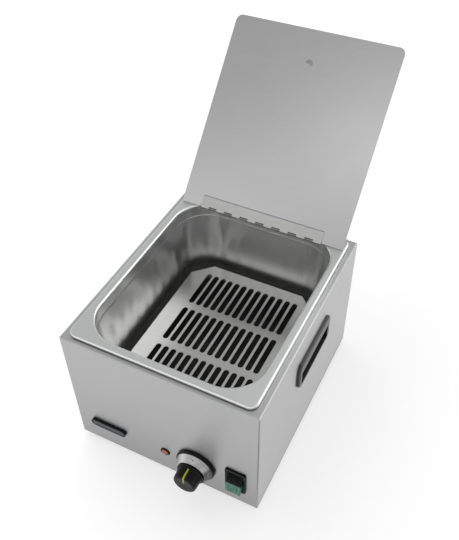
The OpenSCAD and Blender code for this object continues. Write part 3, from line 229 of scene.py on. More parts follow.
# A tubular heater's sheath: nickel alloy, drawn and dulled by heat.
element_metal = metal("drawn_nickel_alloy", "#6E6862", 0.42, (0.3, 0.3, 0.3), 0.05, 0.15)
# The name plate's bare aluminium, finely brushed and anodised grey.
badge_metal = metal("anodised_aluminium_badge", "#5E6165", 0.36, (0.03, 0.03, 2.0))
# Drawn copper capillary and brass threads, slightly tarnished.
copper_brass = metal("drawn_copper", "#C98B63", 0.30, (0.4, 0.4, 0.4), 0.03, 0.12, 0.12)
print("metals with a grain:", len(bpy.data.materials))

# %% [markdown]
# ## Drawn steel for the pan
# The pan is pressed from one sheet in several draws and then polished. Drawing stretches
# the walls, so they are not perfectly flat: soft ripples stand side by side round the
# pan, about 24 mm apart, and smear whatever the wall reflects. They fade out towards the
# rim. Below the slotted plate the metal is duller and painted darker, as painted shade,
# and the floor under the plate is painted darkest.

# %% The pan's metal
RIPPLE_PITCH, RIPPLE_DEEP = 24 * MM, 0.5 * MM
# Each pair of heights is where something starts and where it is there in full.
RIM_DARKER, RIPPLED = (226.4 * MM, 226.9 * MM), (205 * MM, 150 * MM)
DULL_AND_SHADED, IN_SHADE = (111 * MM, 97 * MM), (86 * MM, 79 * MM)


def pan_metal():
    made, tree, shader, place = shaded("drawn_stainless_pan", Metallic=1.0)
    height = node(tree, "ShaderNodeSeparateXYZ", {0: place}).outputs[2]
    # The wave texture repeats every 2 pi / 20 units, which gives the ripples their pitch.
    ripples = [node(tree, "ShaderNodeTexWave", {
        "Vector": place, "Scale": math.tau / 20 / RIPPLE_PITCH, "Distortion": 0.8,
        "Detail": 1.0, "Detail Scale": 0.6}, bands_direction=way) for way in "XY"]
    both_ways = maths(tree, "ADD", *[ripple.outputs["Fac"] for ripple in ripples])
    swell = maths(tree, "MULTIPLY", both_ways, ramp(tree, height, *RIPPLED))
    fine = noise(tree, place, 0.8 * MM, rough=0.6)
    # Painted shade below the level of the slotted plate: the metal there is darker, and also
    # duller.
    scale = ramp(tree, height, *DULL_AND_SHADED)
    polish = maths(tree, "MULTIPLY_ADD", fine, 0.08, 0.28)
    rub = maths(tree, "MULTIPLY_ADD", scale, 0.34, polish)
    tone = blend(tree, fine, linear("#EBECEC"), linear("#F3F3F2"))
    # The level rim is given a darker tone than the walls.
    rim_darker = ramp(tree, height, *RIM_DARKER, way="LINEAR")
    tone = blend(tree, rim_darker, tone, linear("#D2D3D3"))
    # Painted shade: darker below the plate.
    tone = blend(tree, scale, tone, linear("#A3A2A0"))
    # Painted shade: the floor under the slotted plate, where little light reaches, is painted
    # darkest.
    tone = blend(tree, ramp(tree, height, *IN_SHADE), tone, linear("#3A3A39"))
    waves = relief(tree, swell, 1.0, RIPPLE_DEEP)
    tilt = relief(tree, fine, 0.05, 0.1 * MM, Normal=waves)
    feed(tree, shader, Roughness=rub, Base_Color=tone, Normal=tilt)
    return made


pan_steel = pan_metal()
print(pan_steel.name, "has", len(pan_steel.node_tree.nodes), "nodes")

# %% [markdown]
# ## Zinc coated sheet
# The parts under the pan that nobody sees are cut from galvanised sheet. The zinc
# freezes into crystals, called spangle, a few millimetres wide, each with its own tone.

# %% Galvanised sheet
SPANGLE = 6 * MM


def zinc_metal():
    made, tree, shader, place = shaded("galvanised_sheet", Metallic=1.0)
    spangle = node(tree, "ShaderNodeTexVoronoi", {"Vector": place, "Scale": 1 / SPANGLE})
    tone = blend(tree, spangle.outputs["Color"], linear("#A9AEB1"), linear("#C6CACC"))
    rub = maths(tree, "MULTIPLY_ADD", spangle.outputs["Color"], 0.14, 0.34)
    tilt = relief(tree, spangle.outputs["Distance"], 0.08, 0.2 * MM)
    feed(tree, shader, Base_Color=tone, Roughness=rub, Normal=tilt)
    return made


zinc_sheet = zinc_metal()
print(zinc_sheet.name, "with a spangle of", SPANGLE / MM, "mm")

# %% [markdown]
# ## Moulded plastics, rubber and paint
# A mould is spark eroded, which leaves a fine even texture of about 0.3 mm on the part.
# It is drawn at 0.5 mm. Plastics differ in colour and gloss, and rubber is duller. Slow
# changes in tone show where the melt flowed and where hands have touched it.

# %% Plastic with a spark eroded texture
SPARK, FLOW = 0.5 * MM, 18 * MM


def moulded(name, chart, rough, bump=0.08, gloss=0.5):
    """Plastic or rubber, with its texture's height and its gloss as shares."""
    made, tree, shader, place = shaded(name, IOR=1.5, Specular_IOR_Level=gloss)
    flow = noise(tree, place, FLOW)
    tone = blend(tree, flow, shade(chart, 0.82), shade(chart, 1.16, 0.001))
    rub = maths(tree, "MULTIPLY_ADD", flow, 0.1, rough - 0.05)
    tilt = relief(tree, noise(tree, place, SPARK), bump, 0.1 * MM)
    feed(tree, shader, Base_Color=tone, Roughness=rub, Normal=tilt)
    return made


# Nylon of the lid's knob, the gland, and the lamp's and switch's bodies: black, satin.
black_plastic = moulded("moulded_black_nylon", "#111112", 0.42, 0.12, 0.3)
# Glass filled nylon of the handles: satin, and the glass near its skin makes it shine.
handle_plastic = moulded("glass_filled_handle_nylon", "#1A1A1B", 0.36, 0.10, 0.85)
# Heat proof phenolic of the knob, its collar and the disc behind it: black, half gloss.
knob_plastic = moulded("moulded_black_phenolic", "#0A0A0B", 0.34, 0.04, 0.22)
# Polycarbonate of the switch: nearly black with a green cast, fairly glossy.
switch_plastic = moulded("moulded_switch_polycarbonate", "#080E0D", 0.30, 0.03, 0.12)
# Surround of the name plate and bezel of the lamp: black, smoother than the knob.
badge_black = moulded("moulded_black_badge", "#090A0B", 0.26, 0.03, 0.18)
# Lime paint filled into the knob's groove.
lime_paint = moulded("filled_lime_paint", "#B5C41A", 0.40, 0.02)
# White glass filled nylon of the terminal block.
white_plastic = moulded("moulded_white_nylon", "#E4E2DA", 0.40)
# Brown phenolic of the dry-run cut-out.
cutout_plastic = moulded("pressed_brown_phenolic", "#4A352A", 0.38)
# Nitrile rubber of the feet, matt and slightly dusty.
foot_rubber = moulded("moulded_nitrile_rubber", "#222222", 0.70, 0.20, 0.3)
# Grey bead along the lid's leaf, smooth: painted shade, a line that stands in for the shade along
# the leaf's upper edge.
seal_rubber = moulded("grey_bead_for_edge_shade", "#95989A", 0.50, 0.05, 0.4)
# The seal that the pan's rim sits on is darker, and dull from steam.
rim_rubber = moulded("cured_dark_silicone", "#2F3133", 0.60, 0.05, 0.3)
# Silicone insulation of the wires, in the colours of live, neutral and earth.
brown_wire = moulded("extruded_brown_silicone", "#6A3F22", 0.45, 0.03)
blue_wire = moulded("extruded_blue_silicone", "#2C5FA8", 0.45, 0.03)
green_wire = moulded("extruded_green_silicone", "#7FA52C", 0.45, 0.03)
print("finishes so far:", len(bpy.data.materials))

# %% [markdown]
# ## Lenses
# The pilot lamp and the lower half of the rocker are clear coloured plastic in front of
# a small lamp. Some light goes in, spreads and comes out again, so the colour glows a
# little at the edges. Fine ribs inside the lens break up what shows through.

# %% Coloured lenses
def lens(name, deep, pale, ribs):
    """A coloured lens with ribs per millimetre along x, y and z."""
    made, tree, shader, place = shaded(
        name, IOR=1.58, Roughness=0.16, Transmission_Weight=0.25, Subsurface_Weight=0.25,
        Subsurface_Radius=[1.5 * MM] * 3, Subsurface_Scale=1.0)
    rib = lined(tree, place, ribs)
    spread = ramp(tree, rib, 0.3, 0.7, way="LINEAR")
    tone = blend(tree, spread, linear(deep), linear(pale))
    feed(tree, shader, Base_Color=tone, Normal=relief(tree, rib, 0.2, 0.2 * MM))
    return made


green_lens = lens("green_polycarbonate_lens", "#2A6B58", "#66B49A", (0.35, 0.1, 0.1))
orange_lens = lens("orange_polycarbonate_lens", "#D2622F", "#EE8A5A", (0.5, 0.5, 0.5))
print("lenses:", green_lens.name, orange_lens.name)

# %% [markdown]
# ## Spun aluminium for the dial
# The ring is turned on a lathe, and the tool leaves fine rings round its axis. The fans
# of light that these rings catch are painted into its colour, as painted reflection:
# lighter towards the upper left and darker towards the lower right. The printed scale is
# generic: a dot where the turn starts and a thin arc at the lower right.

# %% The dial's metal
# Its place on the front in mm, and then its middle in metres.
DIAL_X, DIAL_Z = 51, 58
DIAL = Vector((DIAL_X * MM, FRONT_Y, DIAL_Z * MM))
# The turn at which the painted reflection is lightest, and the turned rings per metre.
FAN_SHEEN_TURN, RINGS = math.radians(118), 1.4 / MM
# The arc runs from straight down round to the lower right, in radians and metres.
ARC_TURN, ARC_REACH = (-1.5, -0.35), (24.6 * MM, 25.3 * MM)
DOT_AT, DOT_R = (1.3 * MM, -10.8 * MM, 24.3 * MM), 0.85 * MM


def dial_metal():
    made, tree, shader, place = shaded("spun_aluminium_dial", Metallic=1.0)
    centred = node(tree, "ShaderNodeVectorMath", {0: place, 1: DIAL},
                   operation="SUBTRACT").outputs[0]
    apart = node(tree, "ShaderNodeSeparateXYZ", {0: centred}).outputs
    turn = maths(tree, "ARCTAN2", apart[2], apart[0])
    flat = node(tree, "ShaderNodeCombineXYZ", {0: apart[0], 2: apart[2]})
    reach = node(tree, "ShaderNodeVectorMath", {0: flat.outputs[0]},
                 operation="LENGTH").outputs["Value"]
    ring_at = node(tree, "ShaderNodeCombineXYZ", {
        0: turn, 1: maths(tree, "MULTIPLY", reach, RINGS)})
    rings = noise(tree, ring_at.outputs[0], 1.0)
    # Painted reflection: lighter towards that turn and darker opposite it, as fans of light on
    # spun metal.
    fan_sheen_wave = maths(tree, "COSINE", maths(tree, "SUBTRACT", turn, FAN_SHEEN_TURN))
    painted_fan_sheen = ramp(tree, fan_sheen_wave, -0.6, 1.0, way="LINEAR")
    plain = maths(tree, "MULTIPLY_ADD", painted_fan_sheen, 0.75, -0.38)
    bright = maths(tree, "MULTIPLY_ADD", rings, 0.95, plain, use_clamp=True)
    tone = blend(tree, bright, linear("#3E3F40"), linear("#DCDCDC"))
    arc = maths(tree, "MULTIPLY", between(tree, turn, *ARC_TURN),
                between(tree, reach, *ARC_REACH))
    dot_to = node(tree, "ShaderNodeVectorMath", {0: centred, 1: DOT_AT},
                  operation="DISTANCE").outputs["Value"]
    ink = maths(tree, "MAXIMUM", arc, maths(tree, "LESS_THAN", dot_to, DOT_R))
    feed(tree, shader, Base_Color=blend(tree, ink, tone, linear("#202022")),
         Metallic=maths(tree, "SUBTRACT", 1.0, ink),
         Roughness=maths(tree, "MULTIPLY_ADD", rings, 0.2, 0.2),
         Normal=relief(tree, rings, 0.15, 0.2 * MM))
    return made


dial_aluminium = dial_metal()
print(dial_aluminium.name, "centred on", [round(v / MM, 1) for v in DIAL])

# %% [markdown]
# ## Working by hand, in code
# New shapes start as a primitive and are shaped in edit mode. An operator acts on all
# that is selected, so everything is deselected first, and parts are then picked by
# where they are or where they face. These few functions are used for every piece.

# %% Select, place and finish
SMOOTH_UNDER = 35


def clear():
    """Leaves edit mode and deselects everything."""
    if bpy.context.object and bpy.context.object.mode != "OBJECT":
        bpy.ops.object.mode_set(mode="OBJECT")
    bpy.ops.object.select_all(action="DESELECT")


def begin(name):
    """Names the primitive that was just added and opens it for editing, all selected."""
    piece = bpy.context.object
    piece.name = piece.data.name = name
    bpy.ops.object.mode_set(mode="EDIT")
    bpy.ops.mesh.select_mode(type="VERT")
    bpy.ops.mesh.select_all(action="SELECT")
    return piece


def middle(part):
    """The middle of an edge or a face."""
    if isinstance(part, bmesh.types.BMEdge):
        return (part.verts[0].co + part.verts[1].co) / 2
    return part.calc_center_median()


def pick(kind, test):
    """Selects the edges or faces that pass a test, and nothing else. Counts them."""
    bpy.ops.mesh.select_mode(type=kind)
    bpy.ops.mesh.select_all(action="DESELECT")
    data = bpy.context.object.data
    form = bmesh.from_edit_mesh(data)
    found = 0
    for part in {"EDGE": form.edges, "FACE": form.faces}[kind]:
        if test(part):
            part.select_set(True)
            found += 1
    form.select_flush_mode()
    bmesh.update_edit_mesh(data)
    return found


def only(*pieces):
    """Selects these objects, the first one active."""
    clear()
    for piece in pieces:
        piece.select_set(True)
    bpy.context.view_layer.objects.active = pieces[0]


def modify(piece, kind, **settings):
    """Adds a modifier with its settings and applies it at once."""
    only(piece)
    made = piece.modifiers.new(kind.lower(), kind)
    for name, value in settings.items():
        setattr(made, name, value)
    bpy.ops.object.modifier_apply(modifier=made.name)


def ease(piece, width, segments=2, angle=SMOOTH_UNDER):
    """Rounds the sharp edges a little, as deburring or a mould's corners do."""
    modify(piece, "BEVEL", width=width * MM, segments=segments, limit_method="ANGLE",
           angle_limit=math.radians(angle), miter_outer="MITER_ARC",
           use_clamp_overlap=True)


def done(piece, material, body, slot, *nodes):
    """Fixes the place in the mesh, smooths, dresses, and says what it rides on."""
    only(piece)
    bpy.ops.object.transform_apply(location=True, rotation=True, scale=True)
    bpy.ops.object.shade_smooth_by_angle(angle=math.radians(SMOOTH_UNDER))
    modify(piece, "WEIGHTED_NORMAL", weight=100, keep_sharp=True)
    piece.data.materials.clear()
    piece.data.materials.append(material)
    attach(piece, body)
    if nodes:
        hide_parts(*nodes)
    print(piece.name, "has", len(piece.data.polygons), "faces")
    assert piece.data.polygons, "an empty piece"


def dress(material, *names):
    """Gives CAD pieces that keep their own shape their finish."""
    for name in names:
        slots = frame["nodes"][name].material_slots
        for place in slots:
            place.material = material
        if not slots:
            frame["nodes"][name].data.materials.append(material)


def eased_copy(name, width, material, body, slot, segments=2):
    """A copy of a CAD piece with its triangles joined up and its edges eased."""
    only(frame["nodes"][name])
    bpy.ops.object.duplicate()
    piece = bpy.context.object
    for key in list(piece.keys()):
        del piece[key]
    bpy.ops.object.parent_clear(type="CLEAR_KEEP_TRANSFORM")
    piece.name = piece.data.name = name + "_eased"
    bpy.ops.mesh.customdata_custom_splitnormals_clear()
    bpy.ops.object.mode_set(mode="EDIT")
    bpy.ops.mesh.select_all(action="SELECT")
    bpy.ops.mesh.remove_doubles(threshold=0.004 * MM)
    bpy.ops.mesh.dissolve_limited(angle_limit=math.radians(0.5))
    clear()
    ease(piece, width, segments)
    done(piece, material, body, slot, name)


print("tools ready")

# %% [markdown]
# ## The water pan
# A half size catering pan: a level rim with its outer edge turned down, a soft roll into
# the upright band, a shoulder on which pans rest when stacked, walls that lean in a
# little, and a floor with a large cove. It is built from the rim inwards, one ring at a
# time, because inset keeps every corner an arc, as the press tool does. The outer edge
# has tighter corners, so it is a second shape, and the two are bridged along the rim.

# %% Rings for the pan
RIM_Z, FLOOR_Z = 227 * MM, 77 * MM
PAN_W, PAN_D = 267 * MM, 325 * MM
WALL_IN, LIP_R, BAND_DEEP = 12 * MM, 3 * MM, 15.3 * MM
SHOULDER_R, SHOULDER_TURN = 5 * MM, 70
WALL_LEAN, COVE_R, SHEET = 4.5 * MM, 20 * MM, 1 * MM
EDGE_R, HEM_DEEP, HEM_CORNER_R = 2.2 * MM, 4.3 * MM, 12 * MM
# A short flat between a bend and what follows keeps both true.
FLAT = 0.3 * MM
TUB_IN, TUB_CORNER_R = WALL_IN - LIP_R - FLAT, 55 * MM + FLAT
# Caps that close a shape while it is drawn are larger than this, in square metres.
CAP_AREA = 0.05
CORNER_STEPS, WALL_STEPS = 22, 3


def rounded_plane(name, width, depth, radius, z):
    """A flat rectangle with round corners, left selected in edit mode."""
    clear()
    bpy.ops.mesh.primitive_plane_add(size=1)
    piece = begin(name)
    bpy.ops.transform.resize(value=(width, depth, 1))
    bpy.ops.transform.translate(value=(0, 0, z))
    bpy.ops.mesh.select_all(action="SELECT")
    bpy.ops.mesh.bevel(offset=radius, segments=CORNER_STEPS, profile=0.5,
                       affect="VERTICES")
    pick("FACE", lambda face: True)
    return piece


def ring(inwards, down):
    """Takes the selected face one ring further in and down."""
    if inwards > 0.01 * MM:
        bpy.ops.mesh.inset(thickness=inwards, depth=-down, use_even_offset=True)
    else:
        bpy.ops.mesh.extrude_region_move(
            TRANSFORM_OT_translate={"value": (0, 0, -down)})


def bend(radius, start, stop, count, sign=1):
    """Follows an arc, where 0 degrees runs level inwards and 90 runs straight down."""
    turns = [math.radians(start + (stop - start) * i / count) for i in range(count + 1)]
    for a, b in zip(turns, turns[1:]):
        ring(radius * abs(math.sin(b) - math.sin(a)),
             sign * radius * abs(math.cos(a) - math.cos(b)))


print("rim", PAN_W / MM, "by", PAN_D / MM, "mm")

# %% The tub, from the lip down to the floor
tub = rounded_plane("pan_tub", PAN_W - 2 * TUB_IN, PAN_D - 2 * TUB_IN, TUB_CORNER_R, RIM_Z)
ring(FLAT, 0)
bend(LIP_R, 0, 90, 6)
ring(0, FLAT)
ring(0, BAND_DEEP)
bend(SHOULDER_R, 90, SHOULDER_TURN, 4)
bend(SHOULDER_R, SHOULDER_TURN, 89, 4)
# The wall takes what the shoulder leaves of the lean and of the height.
shoulder_in = 2 * SHOULDER_R * (1 - math.sin(math.radians(SHOULDER_TURN)))
shoulder_down = 2 * SHOULDER_R * math.cos(math.radians(SHOULDER_TURN))
lean_in = WALL_LEAN - shoulder_in
wall_down = RIM_Z - FLOOR_Z - LIP_R - FLAT - BAND_DEEP - shoulder_down - COVE_R
for _ in range(WALL_STEPS):
    ring(lean_in / WALL_STEPS, wall_down / WALL_STEPS)
bend(COVE_R, 89, 0, 12)
ring(1 * MM, 0)
caps = pick("FACE", lambda face: face.calc_area() > CAP_AREA
            and middle(face).z > RIM_Z - 0.1 * MM)
if caps:
    bpy.ops.mesh.delete(type="FACE")
clear()
print("wall leans in", round(lean_in / MM, 2), "mm; caps removed:", caps)

# %% The rim's outer edge, turned down
hem = rounded_plane("pan_hem", PAN_W, PAN_D, HEM_CORNER_R, RIM_Z - HEM_DEEP)
ring(0, EDGE_R + FLAT - HEM_DEEP)
ring(0, -FLAT)
bend(EDGE_R, 90, 0, 8, -1)
ring(FLAT, 0)
caps = pick("FACE", lambda face: face.calc_area() > CAP_AREA)
bpy.ops.mesh.delete(type="FACE")
print("caps removed:", caps)

# %% Join both, close the level rim and give the sheet its thickness
only(tub, hem)
bpy.ops.object.join()
bpy.ops.object.mode_set(mode="EDIT")
pick("EDGE", lambda edge: edge.is_boundary and middle(edge).z > RIM_Z - 0.1 * MM)
bpy.ops.mesh.bridge_edge_loops()
bpy.ops.mesh.select_all(action="SELECT")
bpy.ops.mesh.remove_doubles(threshold=0.001 * MM)
bpy.ops.mesh.normals_make_consistent(inside=False)
if pick("FACE", lambda face: face.calc_area() > 0.02 and face.normal.z < 0):
    bpy.ops.mesh.select_all(action="SELECT")
    bpy.ops.mesh.flip_normals()
clear()
modify(tub, "SOLIDIFY", thickness=SHEET, offset=-1, use_even_offset=True)
tub.name = tub.data.name = "drawn_pan"
done(tub, pan_steel, "housing", "pan_steel", "water_pan")

# %% [markdown]
# ## Sheet metal with eased edges
# The casing, the lid, the slotted plate and the strips are right as the CAD has them,
# but a laser or a punch leaves edges that are then deburred. A copy of each piece gets
# its triangles joined up and a small bevel, so that each edge catches a thin line of
# light, as it does on the real machine.

# %% Casing, lid, plate and strip
eased_copy("casing_wrap", 0.22, casing_steel, "housing", "casing_steel")
eased_copy("lid_panel", 0.25, lid_steel, "lid", "lid_steel")
eased_copy("insert_plate", 0.25, plate_steel, "plate", "plate_steel")
eased_copy("rear_strip", 0.2, hinge_steel, "housing", "hinge_steel")
eased_copy("back_panel", 0.2, casing_steel, "housing", "casing_steel")

# %% [markdown]
# ## Black mouldings of the sides
# Each handle is one moulding that snaps into the side: a flat frame, a grip bar and a
# pocket for the fingers. Mould corners are never sharp, so a wider bevel is used.

# %% Handles and feet
eased_copy("handle_right", 0.7, handle_plastic, "housing", "black_plastic", 3)
eased_copy("handle_left", 0.7, handle_plastic, "housing", "black_plastic", 3)
eased_copy("rubber_feet", 0.8, foot_rubber, "housing", "foot_rubber", 3)

# %% [markdown]
# ## Turned pieces
# The disc, the ring, the knob and the lamp are round. Each starts as a circle on its
# axis and is drawn out ring by ring along a profile, as on a lathe. It is made lying on
# its back at the origin, then stood up against the casing's front.

# %% A lathe
def turned(name, profile, count=96, closed=True):
    """A turned solid. The profile gives radius and height in mm, from start to end."""
    clear()
    (radius, height), rest = profile[0], profile[1:]
    bpy.ops.mesh.primitive_circle_add(vertices=count, radius=radius * MM,
                                      fill_type="NGON" if closed else "NOTHING")
    piece = begin(name)
    bpy.ops.transform.translate(value=(0, 0, height * MM))
    bpy.ops.mesh.select_all(action="SELECT")
    for to_radius, to_height in rest:
        bpy.ops.mesh.extrude_region_move(
            TRANSFORM_OT_translate={"value": (0, 0, (to_height - height) * MM)})
        share = to_radius / radius
        bpy.ops.transform.resize(value=(share, share, 1),
                                 center_override=(0, 0, to_height * MM))
        radius, height = to_radius, to_height
    bpy.ops.mesh.select_all(action="SELECT")
    if not closed:
        pick("EDGE", lambda edge: edge.is_boundary)
        bpy.ops.mesh.bridge_edge_loops()
        bpy.ops.mesh.select_all(action="SELECT")
    bpy.ops.mesh.normals_make_consistent(inside=False)
    clear()
    return piece


def stand_up(piece, x, z):
    """Stands a piece that lies on its back against the casing's front."""
    piece.rotation_euler = (math.radians(90), 0, 0)
    piece.location = (x * MM, FRONT_Y, z * MM)


print("lathe ready")

# %% [markdown]
# ## The thermostat's disc, ring and knob
# A thick black disc stands on the casing. On it sits the spun ring, a cone that leads
# up to the knob. The knob has a dark collar that runs over the ring, a slightly tapered
# barrel and a rounded nose, with the lime groove from its side over to its face.

# %% Disc and ring
disc = turned("dial_disc", [(8, 0), (28.2, 0), (29, 0.8), (29, 4.2), (28.6, 5.1),
                            (27.7, 5.5), (8, 5.5)], closed=False)
stand_up(disc, DIAL_X, DIAL_Z)
done(disc, knob_plastic, "housing", "black_plastic", "dial_base")
spun = turned("spun_ring", [(17.1, 5.5), (26.6, 5.5), (27, 5.9), (26.9, 6.6),
                            (22.1, 15.0), (21.8, 15.7), (21.2, 16.0), (17.4, 16.0),
                            (17.1, 15.7)], closed=False)
stand_up(spun, DIAL_X, DIAL_Z)
done(spun, dial_aluminium, "housing", "dial_aluminium", "dial_ring")

# %% Knob
knob = turned("turned_knob", [
    (16.5, 7.0), (16.5, 16.5), (19.4, 16.5), (20.0, 16.9), (20.0, 17.9), (19.5, 18.4),
    (18.0, 18.6), (17.6, 19.2), (17.4, 22), (16.7, 32.6), (16.5, 33.6), (15.9, 34.7),
    (14.8, 35.5), (13.4, 35.8), (12.0, 35.8), (4.0, 35.5), (1.0, 35.45)], 120)
stand_up(knob, DIAL_X, DIAL_Z)
done(knob, knob_plastic, "dial", "black_plastic", "control_knob")

# %% [markdown]
# Some pieces are the same all across their width. Their side view is drawn vertex by
# vertex, closed, filled with one face and then drawn out to the width. The groove's
# paint is one: it starts behind the nose, runs over the rounded edge and stops short of
# the middle of the face, a hair proud of the knob all the way.

# %% Lime pointer
GROOVE_W = 2.4


def side_view(name, points, width):
    """A solid from its side view in the plane x = 0, in mm, and its width along x."""
    clear()
    bpy.ops.mesh.primitive_plane_add(size=MM)
    piece = begin(name)
    bpy.ops.mesh.merge(type="CENTER")
    (y, z), rest = points[0], points[1:] + points[:1]
    bpy.ops.transform.translate(value=(-width / 2 * MM, y * MM, z * MM))
    for to_y, to_z in rest:
        bpy.ops.mesh.extrude_vertices_move(TRANSFORM_OT_translate={
            "value": (0, (to_y - y) * MM, (to_z - z) * MM)})
        y, z = to_y, to_z
    bpy.ops.mesh.select_all(action="SELECT")
    bpy.ops.mesh.remove_doubles(threshold=0.002 * MM)
    bpy.ops.mesh.select_all(action="SELECT")
    bpy.ops.mesh.edge_face_add()
    bpy.ops.mesh.extrude_region_move(
        TRANSFORM_OT_translate={"value": (width * MM, 0, 0)})
    bpy.ops.mesh.select_all(action="SELECT")
    bpy.ops.mesh.normals_make_consistent(inside=False)
    clear()
    return piece


lime = side_view("lime_pointer", [
    (17.72, 20.6), (17.62, 22.0), (16.93, 32.6), (16.72, 33.7), (16.08, 34.87),
    (14.92, 35.71), (13.42, 36.02), (12.0, 36.02), (4.2, 35.73), (4.2, 34.8),
    (12.0, 35.1), (13.2, 35.05), (14.4, 34.7), (15.2, 34.1), (15.8, 33.3),
    (16.0, 32.4), (16.7, 22.0), (16.9, 20.6)], GROOVE_W)
ease(lime, 0.18, 2, 50)
stand_up(lime, DIAL_X, DIAL_Z)
done(lime, lime_paint, "dial", "lime_paint", "knob_pointer")

# %% [markdown]
# ## The pilot lamp
# A black bezel with a rounded lip holds a low orange dome with fine facets inside.

# %% Lamp
LAMP_X, LAMP_Z = 2, 53
bezel = turned("lamp_ring", [(5.1, 0), (7.0, 0), (7.25, 0.3), (7.2, 0.9), (6.7, 1.7),
                             (6.0, 2.0), (5.5, 1.9), (5.1, 1.4)], 64, closed=False)
stand_up(bezel, LAMP_X, LAMP_Z)
done(bezel, badge_black, "housing", "black_plastic", "lamp_bezel")
dome = turned("lamp_dome", [(4.9, 0), (5.0, 0.8), (5.0, 1.9), (4.7, 2.3), (3.9, 2.75),
                            (2.8, 3.1), (1.5, 3.3), (0.5, 3.38)], 48)
stand_up(dome, LAMP_X, LAMP_Z)
done(dome, orange_lens, "housing", "orange_lens", "lamp_lens")

# %% [markdown]
# ## The switch
# A rocker switch snaps into the front. Its frame is a rounded bezel. The rocker's upper
# half is dark and hollowed for the finger, with fine ribs, and its lower half is a green
# lens that stands well out of the frame. At rest the lower half stands proud, because
# the switch is off. Rocker and lens are drawn from the side, level and round the pivot,
# and then tilted.

# %% Frame, rocker and lens
# In mm, and the tilt in degrees.
SWITCH_X, SWITCH_Z, PIVOT_IN, ROCKER_W, TILT = 110.5, 61, 6, 22.4, 9
eased_copy("switch_frame", 0.9, switch_plastic, "housing", "switch_plastic", 4)


def tilt_rocker(piece):
    """Tilts a piece drawn level, with the face's middle as its origin, as it is at rest."""
    piece.location = (0, 0, PIVOT_IN * MM)
    only(piece)
    bpy.ops.object.transform_apply(location=True, rotation=True, scale=True)
    piece.rotation_euler = (math.radians(90 - TILT), 0, 0)
    piece.location = (SWITCH_X * MM, FRONT_Y + PIVOT_IN * MM, SWITCH_Z * MM)


rocker = side_view("rocker_body", [
    (-2.7, 7.7), (-1.2, 7.9), (0, 7.8), (4, 6.7), (9, 5.6), (13, 5.1), (16.9, 5.1),
    (16.1, -1.0), (4.0, -6.0), (2.8, -8.8), (0, -10.0), (-2.8, -8.8), (-4.0, -6.0),
    (-16.1, -1.0), (-16.5, 1.8), (-2.7, 1.8)], ROCKER_W)
ease(rocker, 0.35, 2, 25)
tilt_rocker(rocker)
done(rocker, switch_plastic, "rocker", "switch_plastic", "switch_rocker")
glow_lens = side_view("green_lens", [
    (-2.75, 7.7), (-10, 7.6), (-18.4, 8.0), (-19.3, 7.8), (-19.7, 7.4), (-19.6, 7.0),
    (-16.4, 6.3), (-15.9, 1.85), (-2.75, 1.85)], ROCKER_W)
ease(glow_lens, 0.5, 3, 25)
tilt_rocker(glow_lens)
done(glow_lens, green_lens, "rocker", "green_lens", "rocker_lens")

# %% Ribs on the upper half
RIB_W, RIB_T, RIB_ROUND, RIB_COUNT = 18.6 * MM, 0.9 * MM, 0.3 * MM, 6
# In mm, as in the side view: how far a rib is set back, where the first is, the pitch.
RIB_SUNK, RIB_FIRST, RIB_PITCH = 0.2, 3.4, 2.1


def rocker_rib(name, along):
    """A low bar across the rocker's hollow, so many mm above its middle."""
    clear()
    bpy.ops.mesh.primitive_cube_add(size=1)
    piece = begin(name)
    bpy.ops.transform.resize(value=(RIB_W, RIB_T, RIB_T))
    pick("EDGE", lambda edge: middle(edge).z > RIB_T / 3)
    bpy.ops.mesh.bevel(offset=RIB_ROUND, segments=2, affect="EDGES")
    bpy.ops.mesh.select_all(action="SELECT")
    # This curve runs a little above the hollow, so that the ribs stand out of it.
    crest = 7.8 - 0.275 * along + 0.0088 * along ** 2
    bpy.ops.transform.translate(value=(0, along * MM, (crest - RIB_SUNK) * MM))
    clear()
    return piece


ribs = [rocker_rib("rib_" + str(i), RIB_FIRST + RIB_PITCH * i) for i in range(RIB_COUNT)]
only(*ribs)
bpy.ops.object.join()
ribs = bpy.context.object
ribs.name = ribs.data.name = "rocker_ribs"
bpy.ops.object.transform_apply(location=True, rotation=True, scale=True)
tilt_rocker(ribs)
done(ribs, switch_plastic, "rocker", "switch_plastic")

# %% [markdown]
# ## The name plate, left bare
# A black surround with full round ends holds a thin plate of grey aluminium. Nothing is
# written on it.

# %% Surround and plate
eased_copy("badge_base", 0.45, badge_black, "housing", "badge_black", 3)
eased_copy("badge_plate", 0.15, badge_metal, "housing", "badge_metal")

# %% [markdown]
# ## Hinge
# The hinge is a long strip of rolled steel. Its lid leaf is spot welded to the lid, and
# every weld leaves a shallow round dent where the electrode pressed. The dents are
# modelled once and copied along the leaf.

# %% Leaves and welds
HINGE = Vector((0, 136 * MM, 228.2 * MM))
LID_OPEN = 132
WELDS, WELD_PITCH, WELD_IN = 7, 28.5 * MM, 10.2 * MM
eased_copy("hinge_lid_leaf", 0.12, hinge_steel, "lid", "hinge_steel")
# The fixed leaf and its knuckles take the darker steel: painted shade for the gaps between the
# knuckles.
eased_copy("hinge_fixed_leaf", 0.12, shaded_knuckle_steel, "housing", "hinge_steel")


def on_lid(piece):
    """Turns a piece made on the closed lid, with the hinge as its origin, to the open lid."""
    piece.rotation_euler = (math.radians(-LID_OPEN), 0, 0)
    piece.location = HINGE


dent = turned("weld_dent", [(0.6, -2.02), (1.4, -2.04), (1.9, -2.13), (2.3, -2.06),
                            (2.6, -1.9)], 24)
dents = [dent]
while len(dents) < WELDS:
    only(dent)
    bpy.ops.object.duplicate()
    dents.append(bpy.context.object)
for i, piece in enumerate(dents):
    piece.location = ((i - (WELDS - 1) / 2) * WELD_PITCH, -WELD_IN, 0)
only(*dents)
bpy.ops.object.transform_apply(location=True, rotation=True, scale=True)
bpy.ops.object.join()
welds = bpy.context.object
welds.name = welds.data.name = "spot_welds"
on_lid(welds)
done(welds, hinge_steel, "lid", "hinge_steel")
